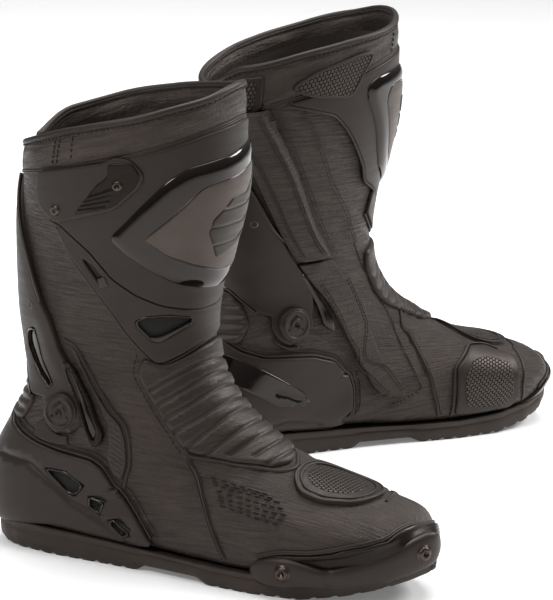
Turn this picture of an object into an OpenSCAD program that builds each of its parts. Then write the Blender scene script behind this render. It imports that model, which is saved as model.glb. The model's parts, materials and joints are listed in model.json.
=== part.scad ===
// A pair of sport motorcycle boots, standing flat on the ground with the toes turned out.
// Millimetres. +X is the wearer's forward, +Y the wearer's left, +Z up, the ground is z = 0.
// Each boot is drawn in its own frame: x forward from the ankle, y to the inner side, z up.

/* [Pair] */
// Angle each toe is turned out from straight ahead
toe_out = 30; // [20:1:35]
// Distance between the two ankles, side to side
ankle_gap = 270; // [255:1:320]
// How far the left boot stands ahead of the right one
stagger = 120; // [100:1:160]

/* [Boot] */
// Length of the sole, heel to toe
sole_length = 320; // [300:1:335]
// Height of the boot at the front of the rim
boot_height = 319; // [310:1:330]
// Rise of the rim on the inner side over the outer side
rim_lift = 14; // [0:1:18]
// Width of the foot at the ball
ball_width = 105; // [98:1:110]

/* [Thickness] */
// Thickness of the leather upper
leather = 2.8; // [2.2:0.1:3]
// Thickness of the padded inner bootie
bootie = 3; // [2.5:0.1:3.5]
// Thickness of the moulded plastic plates
plate = 2.4; // [2:0.1:3]
// Clearance between stacked layers
gap = 0.8; // [0.7:0.05:0.9]

/* [Ankle] */
// Radius of the round cover over each ankle pivot
disc_r = 13; // [11:0.5:14]
// Radius of the ankle pivot pins
pin_r = 4; // [3:0.5:5]
// Clearance of the pin in its bore
pin_clear = 0.08; // [0.05:0.01:0.1]

/* [Fasteners] */
// Radius of the button-head screws
screw_r = 4.5; // [3.5:0.5:5]

/* [Hidden] */
$fn = 48;
kx = sole_length / 320;
ky = ball_width / 105;
kz = boot_height / 319;
ring_n = 24;

// Fan of cross-sections from the rim to the toe tip, in the boot's middle plane.
// Each row: back point x and z, front point x and z, half-width, shift to the inner side.
FAN = [
    [-54, 270,  90, 319, 57,   0],  // 0 rim
    [-56, 252,  92, 292, 56,   0],  // 1 collar seam
    [-57, 222,  91, 250, 53,   0],  // 2 upper calf
    [-57, 190,  83, 208, 48,   0],  // 3 mid calf
    [-56, 160,  77, 168, 43,   0],  // 4 lower calf
    [-52, 130,  80, 138, 40,   0],  // 5 above the ankle
    [-53, 108,  90, 118, 41,   0],  // 6 ankle
    [-64,  84, 101, 106, 43,   0],  // 7 top of the heel cup
    [-76,  54, 112,  98, 43,   0],  // 8 heel
    [-66,  22, 121,  93, 42,   0],  // 9 back of the sole
    [-18,  20, 128,  88, 43,   0],  // 10
    [ 42,  18, 136,  84, 46,   0],  // 11 waist
    [ 90,  16, 144,  79, 50,   1],  // 12
    [130,  15, 162,  71, 53,   2],  // 13 ball
    [165,  16, 198,  62, 51,   4],  // 14
    [192,  20, 221,  55, 44,   6],  // 15
    [216,  24, 230,  43, 31,   7],  // 16
    [230,  27, 236,  34, 13,   7],  // 17 toe tip
];
ROWS = [0.5, 1, 1.5, 2, 2.5, 3, 3.5, 4, 4.5, 5, 5.5, 6, 6.5, 7, 7.5, 8, 8.5, 9, 10, 11, 12, 13, 14, 15, 16];

// Outline of the sole. Each row: x, half-width, shift to the inner side, bottom z, top z.
SOLE = [
    [-79, 12, 0,  9, 17],
    [-66, 30, 0,  0, 16],
    [-40, 38, 0,  0, 15],
    [ 50, 38, 0,  0, 12.5],
    [ 58, 39, 0,  4, 12],
    [ 95, 46, 0,  4, 11],
    [103, 48, 0,  0, 11],
    [165, 51, 3,  0, 12.5],
    [205, 42, 6,  6, 17],
    [230, 27, 7, 14, 22],
    [241,  9, 7, 20, 26],
];

// The ankle axis runs across the boot through this point.
ankle = [-8 * kx, 0, 100 * kz];
// The zip runs straight under the flap, top end then bottom end.
zip_top = [-35 * kx, 45.6 * ky, 253 * kz];
zip_low = [-10 * kx, 45.6 * ky, 157 * kz];
// Turn of the zip's face away from straight sideways
zip_turn = 21;

function row(i) = FAN[max(0, min(len(FAN) - 1, i))];
function blend(p, q, r, s, t) =
    (2 * q + (r - p) * t + (2 * p - 5 * q + 4 * r - s) * t * t + (3 * q - p - 3 * r + s) * t * t * t) / 2;
function section(v) = let (i = min(floor(v), len(FAN) - 2))
    blend(row(i - 1), row(i), row(i + 1), row(i + 2), v - i);
function ease(t) = let (k = max(0, min(1, t))) k * k * (3 - 2 * k);
function power(a, e) = sign(a) * pow(abs(a), e);

// Rise of the rim over a flat cut: higher on the inner side, a shallow dip on the outer side.
function rim(u, v) = let (w = u - 360 * floor((u + 180) / 360))
    ease(1 - v) * (rim_lift * ease((w - 40) / 80) * ease((190 - w) / 40)
                   - 5 * ease((w + 110) / 50) * ease((10 - w) / 40));

// Point of the boot's skin: u is the angle round the section from the front, plus to the
// inner side, v is the place in the fan and h is the height above the skin.
function skin(u, v, h = 0) = let (
    s = section(v),
    e = cos(u) < 0 ? 0.9 - 0.35 * ease((v - 7) / 2.5) : 0.9,
    half = norm([s[2] - s[0], s[3] - s[1]]) / 2,
    a = power(cos(u), e) * (half + h) / half,
    b = power(sin(u), e))
    [kx * ((s[0] + s[2]) / 2 + a * (s[2] - s[0]) / 2),
     ky * (s[5] + (s[4] + h) * b),
     kz * ((s[1] + s[3]) / 2 + a * (s[3] - s[1]) / 2 + rim(u, v))];

function at(edge, v) = is_num(edge) ? edge : lookup(v, edge);
function rows_between(v0, v1) = concat([v0], [for (r = ROWS) if (r > v0 + 0.05 && r < v1 - 0.05) r], [v1]);

// Solid between two heights over the skin, between two edges given as angles or as
// [v, angle] lists, or all the way round when no edges are given. rows sets its own rows.
module layer(v0, v1, h0, h1, from = undef, to = undef, n = 8, rows = undef) {
    ring = is_undef(from);
    vs = is_undef(rows) ? rows_between(v0, v1) : rows;
    m = ring ? ring_n : n + 1;
    k = len(vs);
    function angle(v, j) = ring ? 360 * j / m : at(from, v) + (at(to, v) - at(from, v)) * j / n;
    pts = [for (h = [h1, h0], v = vs, j = [0 : m - 1]) skin(angle(v, j), v, h)];
    last = ring ? m - 1 : m - 2;
    function id(side, i, j) = side * k * m + i * m + (j % m);
    polyhedron(points = pts, convexity = 8, faces = concat(
        [for (i = [0 : k - 2], j = [0 : last], t = [0, 1]) t == 0
            ? [id(0, i, j), id(0, i + 1, j), id(0, i + 1, j + 1)]
            : [id(0, i, j), id(0, i + 1, j + 1), id(0, i, j + 1)]],
        [for (i = [0 : k - 2], j = [0 : last], t = [0, 1]) t == 0
            ? [id(1, i, j), id(1, i + 1, j + 1), id(1, i + 1, j)]
            : [id(1, i, j), id(1, i, j + 1), id(1, i + 1, j + 1)]],
        [for (j = [0 : last], t = [0, 1]) t == 0
            ? [id(0, 0, j), id(0, 0, j + 1), id(1, 0, j + 1)]
            : [id(0, 0, j), id(1, 0, j + 1), id(1, 0, j)]],
        [for (j = [0 : last], t = [0, 1]) t == 0
            ? [id(0, k - 1, j), id(1, k - 1, j + 1), id(0, k - 1, j + 1)]
            : [id(0, k - 1, j), id(1, k - 1, j), id(1, k - 1, j + 1)]],
        ring ? [] : [for (i = [0 : k - 2], t = [0, 1]) t == 0
            ? [id(0, i, 0), id(1, i, 0), id(1, i + 1, 0)]
            : [id(0, i, 0), id(1, i + 1, 0), id(0, i + 1, 0)]],
        ring ? [] : [for (i = [0 : k - 2], t = [0, 1]) t == 0
            ? [id(0, i, m - 1), id(1, i + 1, m - 1), id(1, i, m - 1)]
            : [id(0, i, m - 1), id(0, i + 1, m - 1), id(1, i + 1, m - 1)]]));
}

// Loft along the boot through upright six-sided slices of SOLE rows.
module slab(rows, inset = 0, low = 0, high = 1) {
    k = len(rows);
    pts = [for (r = rows) let (w = r[1] - inset, z0 = r[3] + (r[4] - r[3]) * low, z1 = r[3] + (r[4] - r[3]) * high)
        each [for (p = [[-w, z1], [-w, z0 + (z1 - z0) / 3], [-w + 4, z0], [w - 4, z0], [w, z0 + (z1 - z0) / 3], [w, z1]])
            [kx * r[0], ky * (r[2] + p[0]), kz * p[1]]]];
    polyhedron(points = pts, convexity = 8, faces = concat(
        [[for (j = [0 : 5]) j]],
        [[for (j = [5 : -1 : 0]) (k - 1) * 6 + j]],
        [for (i = [0 : k - 2], j = [0 : 5], t = [0, 1]) t == 0
            ? [i * 6 + j, (i + 1) * 6 + j, (i + 1) * 6 + (j + 1) % 6]
            : [i * 6 + j, (i + 1) * 6 + (j + 1) % 6, i * 6 + (j + 1) % 6]]));
}

// Turns and moves its children so that their z axis points along d from p.
module aim(p, d) {
    translate(p) rotate([0, acos(d[2] / norm(d)), atan2(d[1], d[0])]) children();
}

// Button head with a hexagon socket, standing h above the skin at (u, v).
module button_screw(u, v, h) {
    p = skin(u, v, h);
    aim(p, skin(u, v, h + 10) - p)
        difference() {
            cylinder(h = 2.4, r = screw_r);
            translate([0, 0, 1.2]) cylinder(h = 2, r = screw_r * 0.5, $fn = 6);
        }
}

module right() translate([-stagger / 2, -ankle_gap / 2, 0]) rotate(-toe_out) children();
module left() translate([stagger / 2, ankle_gap / 2, 0]) rotate(toe_out) mirror([0, 1, 0]) children();

// ---- foot ----

module outsole() color("dimgray") slab(SOLE);

// Steel strip under the waist, between the sole and the upper.
module shank() color("silver") slab([
    [-30, 12, 0, 15.2, 16.6], [20, 10, 0, 13.8, 15.2], [75, 12, 0, 12.2, 13.4]]);

module insole() color("khaki") layer(10, 15, -14, -10, 152, 208, 6);

module foot_upper() color("saddlebrown") layer(6.5, 17, -leather, 0);

// Moulded guard wrapped round the toe above the sole.
module toe_cap() color("slategray")
    layer(13.4, 16.4, gap + 0.6, gap + 2.2,
        [[13.4, 120], [14.2, 98], [15, 78], [15.6, 50], [16.4, 20]],
        [[13.4, 128], [14.2, 136], [16.4, 136]], 7, [13.4, 13.8, 14.2, 14.6, 15, 15.3, 15.6, 15.9, 16.2, 16.4]);

// Ribbed oval panel on top of the toe.
module toe_patch() color("teal")
    layer(12.4, 14.1, gap, gap + 2,
        [[12.4, -10], [12.9, -28], [13.4, -36], [13.8, -32], [14.1, -16]],
        [[12.4, 14], [12.9, 26], [13.4, 32], [13.8, 29], [14.1, 16]]);

// Replaceable slider on the outer side of the toe.
module toe_slider() color("black")
    layer(13.5, 16.4, gap + 0.6, gap + 3.4,
        [[13.5, -136], [16.4, -136]],
        [[13.5, -112], [14.2, -100], [15, -84], [15.6, -60], [16.4, -30]], 7,
        [13.5, 13.9, 14.3, 14.7, 15, 15.3, 15.6, 15.9, 16.2, 16.4]);

module slider_screws() color("silver") {
    button_screw(-110, 14.15, gap + 5.9);
    button_screw(-72, 15.7, gap + 6.3);
}

// Heel counter wrapped round the back of the foot.
module heel_cup() color("dimgray")
    layer(7.7, 11, gap + 0.4, gap + 2.2,
        [[7.7, 100], [8.2, 88], [9, 86], [10, 96], [11, 112]],
        [[7.7, 260], [8.2, 272], [9, 274], [10, 264], [11, 248]], 16);

// Hexagon-textured pad over the inner side of the toe for the gear lever.
module shift_pad() color("teal")
    layer(11.8, 14.6, gap + 0.4, gap + 1.8,
        [[11.8, 70], [12.4, 45], [13, 40], [14, 42], [14.6, 60]],
        [[11.8, 88], [12.4, 105], [13.2, 114], [13.9, 100], [14.6, 84]], 6);

// Ribbed stretch panel over the instep.
module instep_bellows() color("olive")
    layer(4.8, 11.6, gap + 0.3, gap + 2.1,
        [[4.8, -58], [5.2, -64], [6, -63], [7, -60], [8.4, -54], [9.4, -40], [11.6, -24]],
        [[4.8, 40], [6, 42], [7, 42], [8.4, 32], [9.4, 26], [11.6, 12]], 8);

// Ribbed stretch panel over the Achilles tendon.
module achilles_bellows() color("olive")
    layer(5.15, 7.5, gap, gap + 2, 150, 210, 6);

module ankle_gusset() color("sienna") layer(4.6, 6.4, -leather, 0);

// Lower end of the closure strip, sewn to the ankle and the foot.
module flap_tail() color("peru")
    layer(5, 7.4, gap, gap + 1.2, [[5, 70], [7.4, 62]], [[5, 84], [7.4, 76]], 3);

module inner_bootie() color("gainsboro") 
    layer(1, 15, -leather - 1.4 - bootie, -leather - 1.4, rows = [for (i = [1 : 15]) i]);

// Plate each side of the ankle with the pin that the brace arm turns on.
module ankle_pivots() color("silver") for (side = [-1, 1])
    translate([ankle[0], side * 43.2 * ky, ankle[2]]) rotate([side * -90, 0, 0]) {
        cylinder(h = 2, r = disc_r - 3);
        translate([-7, side * 8 - 8, 0]) cube([14, 16, 2]);
        cylinder(h = 6, r = pin_r);
        translate([0, 0, 5.4]) cylinder(h = 1.4, r = pin_r + 3);
    }

// ---- shaft ----

module shaft_upper() color("saddlebrown") layer(1, 4.5, -leather, 0, rows = [1, 1.7, 2.4, 3.1, 3.8, 4.5]);

module collar() color("rosybrown") layer(0, 0.93, -leather - 4, 1);

module shin_plate() color("slategray")
    layer(1, 3.75, gap + 0.2, gap + 1.3,
        [[1, -112], [1.8, -112], [2.1, -106], [2.7, -88], [3.3, -70], [3.5, -62], [3.75, -34]],
        [[1, 110], [1.8, 86], [2.7, 68], [3.3, 46], [3.75, 18]], 14,
        [1, 1.4, 1.8, 2.1, 2.5, 2.8, 3.1, 3.3, 3.5, 3.6, 3.75]);

// Gloss shell on the shin, round the insert.
module shield_frame() color("black")
    layer(1.3, 3.5, gap + 2.4, gap + 3.6,
        [[1.3, -26], [1.5, -40], [2, -58], [2.5, -76], [2.9, -60], [3.2, -48], [3.5, -20]],
        [[1.3, 70], [2, 66], [2.5, 57], [2.9, 48], [3.2, 34], [3.5, 14]], 12,
        [1.3, 1.5, 2, 2.25, 2.5, 2.7, 2.9, 3.05, 3.2, 3.35, 3.5]);

module shield_insert() color("gray")
    layer(1.55, 3.2, gap + 5, gap + 6,
        [[1.55, -12], [1.8, -28], [2.2, -44], [2.6, -58], [2.9, -46], [3.2, -16]],
        [[1.55, 56], [1.8, 54], [2.2, 48], [2.6, 41], [2.9, 33], [3.2, 12]], 9,
        [1.55, 1.8, 2, 2.2, 2.4, 2.6, 2.75, 2.9, 3, 3.1, 3.2]);

// Plate high on the outer side of the calf.
module vent_plate() color("dimgray")
    layer(1.15, 2.1, gap + 2.9, gap + 2.6 + plate,
        [[1.15, -121], [1.9, -116], [2.1, -108]],
        [[1.15, -76], [1.4, -67], [1.55, -67], [2.1, -98]], 6);

module plate_screws() color("silver") {
    button_screw(-108, 1.75, gap + 5.8);
    button_screw(-80, 1.45, gap + 5.8);
    button_screw(-129, 3.75, gap + plate + 0.6);
    button_screw(134, 3.55, gap + plate + 0.6);
}

// V-shaped panel between the shin and the ankle, with its slots.
module side_wing() color("dimgray")
    layer(2.95, 4.45, gap + 0.2, gap + 1.3,
        [[2.95, -94], [3.5, -86], [4.45, -65]],
        [[2.95, -87], [3.3, -77], [3.6, -63], [3.9, -30], [4.45, -14]], 6,
        [2.95, 3.3, 3.5, 3.6, 3.7, 3.8, 3.9, 4.15, 4.45]);

// Rear plate over the calf.
module calf_plate() color("dimgray")
    layer(1.4, 4.9, gap, gap + plate,
        [[1.4, 166], [2, 155], [2.8, 139], [3.2, 131], [4, 120], [4.9, 108]],
        [[1.4, 194], [2, 205], [2.8, 225], [3.2, 234], [4, 242], [4.9, 250]], 12);

module rear_vent() color("black")
    layer(1.9, 4, gap + plate + 0.6, gap + plate + 3,
        [[1.9, 170], [2.4, 163], [4, 172]], [[1.9, 190], [2.4, 197], [4, 188]], 4);

// Arm from the calf plate down to the ankle pivot; side is +1 for the inner side.
module brace_arm(side) {
    p = [ankle[0], side * 45.6 * ky, ankle[2]];
    difference() {
        union() {
            translate(p) rotate([side * -90, 0, 0]) cylinder(h = 2.4, r = disc_r);
            hull() {
                translate(p) rotate([side * -90, 0, 0]) cylinder(h = 2.4, r = disc_r - 2);
                translate([-24 * kx, side * 45.6 * ky, 134 * kz]) rotate([side * -90, 0, 0])
                    cylinder(h = 2.4, r = 10);
            }
        }
        translate(p) rotate([side * -90, 0, 0]) translate([0, 0, -1])
            cylinder(h = 6, r = pin_r + pin_clear);
    }
}

module ankle_brace() color("slategray") {
    brace_arm(1);
    brace_arm(-1);
}

// Puts its children on the zip, z up the zip and y out of the boot.
module on_zip() translate(zip_low)
    rotate([0, atan2(zip_top[0] - zip_low[0], zip_top[2] - zip_low[2]), 0]) rotate(zip_turn) children();
zip_length = norm(zip_top - zip_low);

// Coil and tape of the zip, straight down the inner side.
module zip_track() color("black")
    on_zip() translate([-3, -0.5, 0]) cube([6, 0.8, zip_length]);

// ---- closure ----

// Leather flap over the zip, sewn down along its front edge.
module closure_flap() color("peru")
    layer(0.95, 4.5, 7, 8.5,
        [[0.95, 132], [1.3, 128], [2.6, 108], [4.5, 82]],
        [[0.95, 160], [1.3, 158], [2.6, 134], [4.5, 104]], 5);

// Slider of the zip, with its pull tab hanging from it.
module zip_slider() color("silver") on_zip() {
    translate([-4, 0.5, zip_length - 14]) cube([8, 1.6, 12]);
    translate([-2, 0.8, zip_length - 32]) cube([4, 1.1, 19]);
}

right() outsole();  // outsole_r
right() shank();  // shank_r
right() insole();  // insole_r
right() foot_upper();  // foot_upper_r
right() toe_cap();  // toe_cap_r
right() toe_patch();  // toe_patch_r
right() toe_slider();  // toe_slider_r
right() slider_screws();  // slider_screws_r
right() heel_cup();  // heel_cup_r
right() shift_pad();  // shift_pad_r
right() instep_bellows();  // instep_bellows_r
right() achilles_bellows();  // achilles_bellows_r
right() ankle_gusset();  // ankle_gusset_r
right() flap_tail();  // flap_tail_r
right() inner_bootie();  // inner_bootie_r
right() ankle_pivots();  // ankle_pivots_r
right() shaft_upper();  // shaft_upper_r
right() collar();  // collar_r
right() shin_plate();  // shin_plate_r
right() shield_frame();  // shield_frame_r
right() shield_insert();  // shield_insert_r
right() vent_plate();  // vent_plate_r
right() plate_screws();  // plate_screws_r
right() side_wing();  // side_wing_r
right() calf_plate();  // calf_plate_r
right() rear_vent();  // rear_vent_r
right() ankle_brace();  // ankle_brace_r
right() zip_track();  // zip_track_r
right() closure_flap();  // closure_flap_r
right() zip_slider();  // zip_slider_r

left() outsole();  // outsole_l
left() shank();  // shank_l
left() insole();  // insole_l
left() foot_upper();  // foot_upper_l
left() toe_cap();  // toe_cap_l
left() toe_patch();  // toe_patch_l
left() toe_slider();  // toe_slider_l
left() slider_screws();  // slider_screws_l
left() heel_cup();  // heel_cup_l
left() shift_pad();  // shift_pad_l
left() instep_bellows();  // instep_bellows_l
left() achilles_bellows();  // achilles_bellows_l
left() ankle_gusset();  // ankle_gusset_l
left() flap_tail();  // flap_tail_l
left() inner_bootie();  // inner_bootie_l
left() ankle_pivots();  // ankle_pivots_l
left() shaft_upper();  // shaft_upper_l
left() collar();  // collar_l
left() shin_plate();  // shin_plate_l
left() shield_frame();  // shield_frame_l
left() shield_insert();  // shield_insert_l
left() vent_plate();  // vent_plate_l
left() plate_screws();  // plate_screws_l
left() side_wing();  // side_wing_l
left() calf_plate();  // calf_plate_l
left() rear_vent();  // rear_vent_l
left() ankle_brace();  // ankle_brace_l
left() zip_track();  // zip_track_l
left() closure_flap();  // closure_flap_l
left() zip_slider();  // zip_slider_l
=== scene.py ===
"""Looks for a pair of sport motorcycle boots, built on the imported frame.

Every visible piece is shaped in the boot's own frame in millimetres: x forward from the ankle, y to the
inner side, z up. A point on the boot's skin is named by u, the angle round the section from the front in
degrees (plus to the inner side), and v, the place in the fan of sections from the rim (0) to the toe
(17). Its height h is measured outward from the skin.
"""
import json
import math

import bpy
import numpy as np
from mathutils import Matrix, Vector
from mathutils.geometry import delaunay_2d_cdt


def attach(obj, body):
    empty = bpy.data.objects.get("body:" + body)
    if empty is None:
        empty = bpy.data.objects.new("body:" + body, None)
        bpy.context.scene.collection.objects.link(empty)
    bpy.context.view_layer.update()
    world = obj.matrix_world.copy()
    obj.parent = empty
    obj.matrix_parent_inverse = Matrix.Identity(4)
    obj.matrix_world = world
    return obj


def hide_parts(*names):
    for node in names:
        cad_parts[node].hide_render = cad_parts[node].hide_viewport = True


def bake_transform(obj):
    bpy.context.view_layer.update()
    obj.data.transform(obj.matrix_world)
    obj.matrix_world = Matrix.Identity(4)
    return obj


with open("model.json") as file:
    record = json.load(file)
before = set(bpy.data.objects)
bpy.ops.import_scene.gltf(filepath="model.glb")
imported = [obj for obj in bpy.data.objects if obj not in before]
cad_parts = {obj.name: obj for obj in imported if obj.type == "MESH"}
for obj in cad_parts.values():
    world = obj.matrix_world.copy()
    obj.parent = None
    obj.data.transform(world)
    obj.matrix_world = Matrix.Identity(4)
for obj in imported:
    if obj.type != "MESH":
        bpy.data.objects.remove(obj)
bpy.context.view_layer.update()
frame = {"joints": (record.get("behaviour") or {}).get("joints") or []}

MM = 0.001
ANKLE_X, ANKLE_Z = -8.0, 100.0      # ankle axis in the boot's frame
ANKLE_BEND = (82, 122)              # heights of the ankle band; at_ankle works out points at them but does not use them
ARM_R = 15.8                        # round end of the calf plate's arms, about the ankle pivot
COVER_Y = 46.4                      # face of the round covers over the pivots, from the middle
RIM_LIFT, RIM_DIP = 14, 5           # rise of the rim on the inner side, dip on the outer side
TOE_V = 17                          # place of the last section, at the tip of the toe
SKIRT = 0.9                         # how far a panel's rim reaches below its base
ROUND = 0.9                         # power of the sections: 1 is an ellipse, less is squarer
SOLE_FLAT, SOLE_SQUARE = 0.35, 0.5  # taken off that power on the underside of the foot
SIDES = ((-1, "outer"), (1, "inner"))
SHARES = 1440                       # columns in the table of angles round a section
CAMERA_DISTANCE = 2.6               # metres, to the right boot's ankle at the ground
CAMERA_DOWN = 16.3                  # camera's height as an angle over that place, in degrees
CAMERA_TURN = (-2.56, 77.35, 1.44)  # aside, up from straight down, and about its own axis, in degrees
LENS = 252.3
FLOOR_SHADE, FLOOR_GLOW = 0.93, 0.16

# Sections of the boot: back point x and z, front point x and z, half-width, shift to the inner side.
FAN = np.array([
    [-54, 270, 90, 319, 57, 0], [-56, 252, 92, 292, 56, 0], [-57, 222, 91, 250, 53, 0],
    [-57, 190, 83, 208, 48, 0], [-56, 160, 77, 168, 43, 0], [-52, 130, 80, 138, 40, 0],
    [-53, 108, 90, 118, 41, 0], [-64, 84, 101, 106, 43, 0], [-76, 54, 112, 98, 43, 0],
    [-68, 19, 121, 93, 43, 0], [-18, 17, 128, 88, 43, 0], [42, 15, 136, 84, 46, 0],
    [90, 12, 144, 79, 50, 1], [130, 11, 162, 71, 53, 2], [165, 13, 198, 62, 51, 4],
    [192, 17, 221, 55, 45, 6], [216, 22, 231, 44, 32, 7], [231, 26, 238, 35, 13, 7]], float)

# Sole: x, half-width, shift to the inner side, bottom z, top z.
SOLE = np.array([
    [-72, 5, 0, 8, 23], [-70.5, 15, 0, 5, 22], [-66, 25, 0, 2, 21], [-57, 33, 0, 0.4, 20],
    [-44, 38.5, 0, 0, 19], [-20, 41, 0, 0, 18], [20, 41.5, 0, 0, 16.5], [48, 42.5, 0, 0, 15],
    [54, 43, 0, 4, 15],
    [95, 47.5, 0.5, 4, 13.5], [104, 49, 1, 0, 13.5], [135, 52, 2, 0, 13.5], [170, 50.5, 4, 0.5, 15.5],
    [198, 43, 6, 5, 19], [218, 33, 7, 10, 23], [232, 20, 7, 15, 26.5], [239, 8, 7, 18, 28.5],
    [241, 2, 7, 20, 29]], float)


def ease(t):
    """0 to 1 with a soft start and end."""
    t = np.clip(t, 0, 1)
    return t * t * (3 - 2 * t)


def on_the_foot(v):
    """0 on the shaft and 1 on the foot, where the underside is flat."""
    return ease((v - 7) / 2.5)


def spline_rows(table, v):
    """Catmull-Rom rows of a table at the places v."""
    v = np.asarray(v, float)
    last = len(table) - 1
    i = np.clip(np.floor(v).astype(int), 0, last - 1)
    t = (v - i)[..., None]
    p, q, r, s = (table[np.clip(i + k, 0, last)] for k in (-1, 0, 1, 2))
    return (2 * q + (r - p) * t + (2 * p - 5 * q + 4 * r - s) * t * t
            + (3 * q - p - 3 * r + s) * t ** 3) / 2


def rim(u, v):
    """Rise of the rim over a flat cut: higher on the inner side, a shallow dip on the outer side."""
    w = (u + 180) % 360 - 180
    return ease(1 - v) * (RIM_LIFT * ease((w - 40) / 80) * ease((190 - w) / 40)
                          - RIM_DIP * ease((w + 110) / 50) * ease((10 - w) / 40))


def shape(u, v):
    """Point of the bare skin."""
    u, v = np.broadcast_arrays(np.asarray(u, float), np.asarray(v, float))
    s = spline_rows(FAN, v)
    k = on_the_foot(v)
    cu, su = np.cos(np.radians(u)), np.sin(np.radians(u))
    low = cu < 0
    a = np.sign(cu) * np.abs(cu) ** np.where(low, ROUND - SOLE_FLAT * k, ROUND)
    m = np.where(low, 2 / (ROUND - SOLE_SQUARE * k), 2 / ROUND)
    b = np.sign(su) * np.clip(1 - np.abs(a) ** m, 0, 1) ** (1 / m)
    return np.stack([(s[..., 0] + s[..., 2]) / 2 + a * (s[..., 2] - s[..., 0]) / 2,
                     s[..., 5] + s[..., 4] * b,
                     (s[..., 1] + s[..., 3]) / 2 + a * (s[..., 3] - s[..., 1]) / 2 + rim(u, v)], -1)


def normal(u, v):
    """Outward direction of the skin."""
    u, v = np.asarray(u, float), np.asarray(v, float)
    along_u = shape(u + 1.5, v) - shape(u - 1.5, v)
    along_v = shape(u, v + 0.04) - shape(u, v - 0.04)
    n = np.cross(along_v, along_u)
    return n / np.maximum(np.linalg.norm(n, axis=-1, keepdims=True), 1e-9)


def skin(u, v, h=0.0):
    """Point at height h over the skin."""
    return shape(u, v) + normal(u, v) * np.asarray(h, float)[..., None]


# ---------------------------------------------------------------- boots and meshes

class Boot:
    """One boot: its place in the frame, its bodies and its CAD node names."""

    def __init__(self, side):
        self.side, self.tag = side, side[0]
        joint = next(j for j in frame["joints"] if j["name"] == side + "_ankle")
        self.left = Vector(joint["axis"]).normalized()
        self.forward = self.left.cross(Vector((0, 0, 1)))
        self.inner = self.left if side == "right" else -self.left
        ankle = Vector(joint["pos_m"])
        self.origin = Vector((ankle.x, ankle.y, 0)) - self.forward * ANKLE_X * MM

    def world(self, points):
        p = np.asarray(points, float).reshape(-1, 3) * MM
        return (np.array(self.origin) + p[:, :1] * np.array(self.forward) + p[:, 1:2] * np.array(self.inner)
                + p[:, 2:] * np.array((0, 0, 1)))

    def point(self, x, y, z):
        return Vector(self.world([(x, y, z)])[0])

    def body(self, name):
        return self.side + "_" + name

    def nodes(self, *names):
        return [n + "_" + self.tag for n in names]


def mesh_object(name, points, faces, finish, uv=None):
    """A mesh object from points in the current boot's frame; the left boot's faces are turned over."""
    if boot.side == "left":
        faces = [f[::-1] for f in faces]
    mesh = bpy.data.meshes.new(name + "_" + boot.tag)
    mesh.from_pydata(boot.world(points).tolist(), [], faces)
    if uv is not None:
        layer = mesh.uv_layers.new(name="skin")
        index = np.empty(len(mesh.loops), int)
        mesh.loops.foreach_get("vertex_index", index)
        layer.data.foreach_set("uv", (np.asarray(uv, float)[index] * MM).ravel())
    mesh.polygons.foreach_set("use_smooth", [True] * len(mesh.polygons))
    mesh.materials.append(finish)
    mesh.validate()
    obj = bpy.data.objects.new(name + "_" + boot.tag, mesh)
    bpy.context.collection.objects.link(obj)
    return obj


def grid(name, points, finish, uv=None, ring=False, low=False, high=False, flip=False, closed=False):
    """A mesh object from rows of points. A ring closes each row; low and high cap the first and last
    row; closed joins the last row to the first; flip turns the faces over."""
    points = np.asarray(points, float)
    rows, cols = points.shape[:2]
    faces = []
    for i in range(rows - 1):
        for j in range(cols if ring else cols - 1):
            k = (j + 1) % cols
            faces.append((i * cols + j, (i + 1) * cols + j, (i + 1) * cols + k, i * cols + k))
    last = (rows - 1) * cols
    if closed:
        faces += [(last + j, j, (j + 1) % cols, last + (j + 1) % cols) for j in range(cols)]
    faces += [tuple(range(cols))[::-1]] * low + [tuple(range(last, last + cols))] * high
    if flip:
        faces = [f[::-1] for f in faces]
    if uv is not None:
        uv = uv.reshape(-1, 2)
    return mesh_object(name, points.reshape(-1, 3), faces, finish, uv)


V_AT = np.arange(-0.5, 17.001, 0.05)
_line = (shape(70, V_AT) + shape(-70, V_AT)) / 2  # down the middle of the sides
V_LENGTH = np.concatenate([[0], np.cumsum(np.linalg.norm(np.diff(_line, axis=0), axis=1))])

# Tables of the length round each section, and of the angle at each share of it.
# The angles crowd together at both sides, where the section turns quickly with the angle.
_near = np.array([0.001, 0.004, 0.012, 0.03, 0.06, 0.12, 0.25])
_near = np.concatenate([-_near[::-1], _near])
AROUND = np.sort(np.concatenate([np.arange(0, 361.0, 0.5), 90 + _near, 270 + _near]))
ALONG = np.arange(-0.5, 17.001, 0.1)
_grid = shape(AROUND[None], ALONG[:, None])
ARC = np.pad(np.cumsum(np.linalg.norm(np.diff(_grid, axis=1), axis=2), axis=1), ((0, 0), (1, 0)))
ANGLE = np.array([np.interp(np.linspace(0, 1, SHARES + 1), row / row[-1], AROUND) for row in ARC])


def look_up(table, v, column):
    """Value of a table, whose rows are at ALONG, at place v and a fractional column."""
    i = np.clip((np.asarray(v, float) + 0.5) / 0.1, 0, len(table) - 1.001)
    j = np.clip(np.asarray(column, float), 0, table.shape[1] - 1.001)
    i0, j0 = i.astype(int), j.astype(int)
    f, g = i - i0, j - j0
    return ((1 - f) * ((1 - g) * table[i0, j0] + g * table[i0, j0 + 1])
            + f * ((1 - g) * table[i0 + 1, j0] + g * table[i0 + 1, j0 + 1]))


def arc(u, v):
    """Length on the skin from the front round to u, in millimetres."""
    turns = np.floor(np.asarray(u, float) / 360)
    column = np.interp(u - 360 * turns, AROUND, np.arange(len(AROUND)))
    return turns * look_up(ARC, v, len(AROUND)) + look_up(ARC, v, column)


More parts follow.
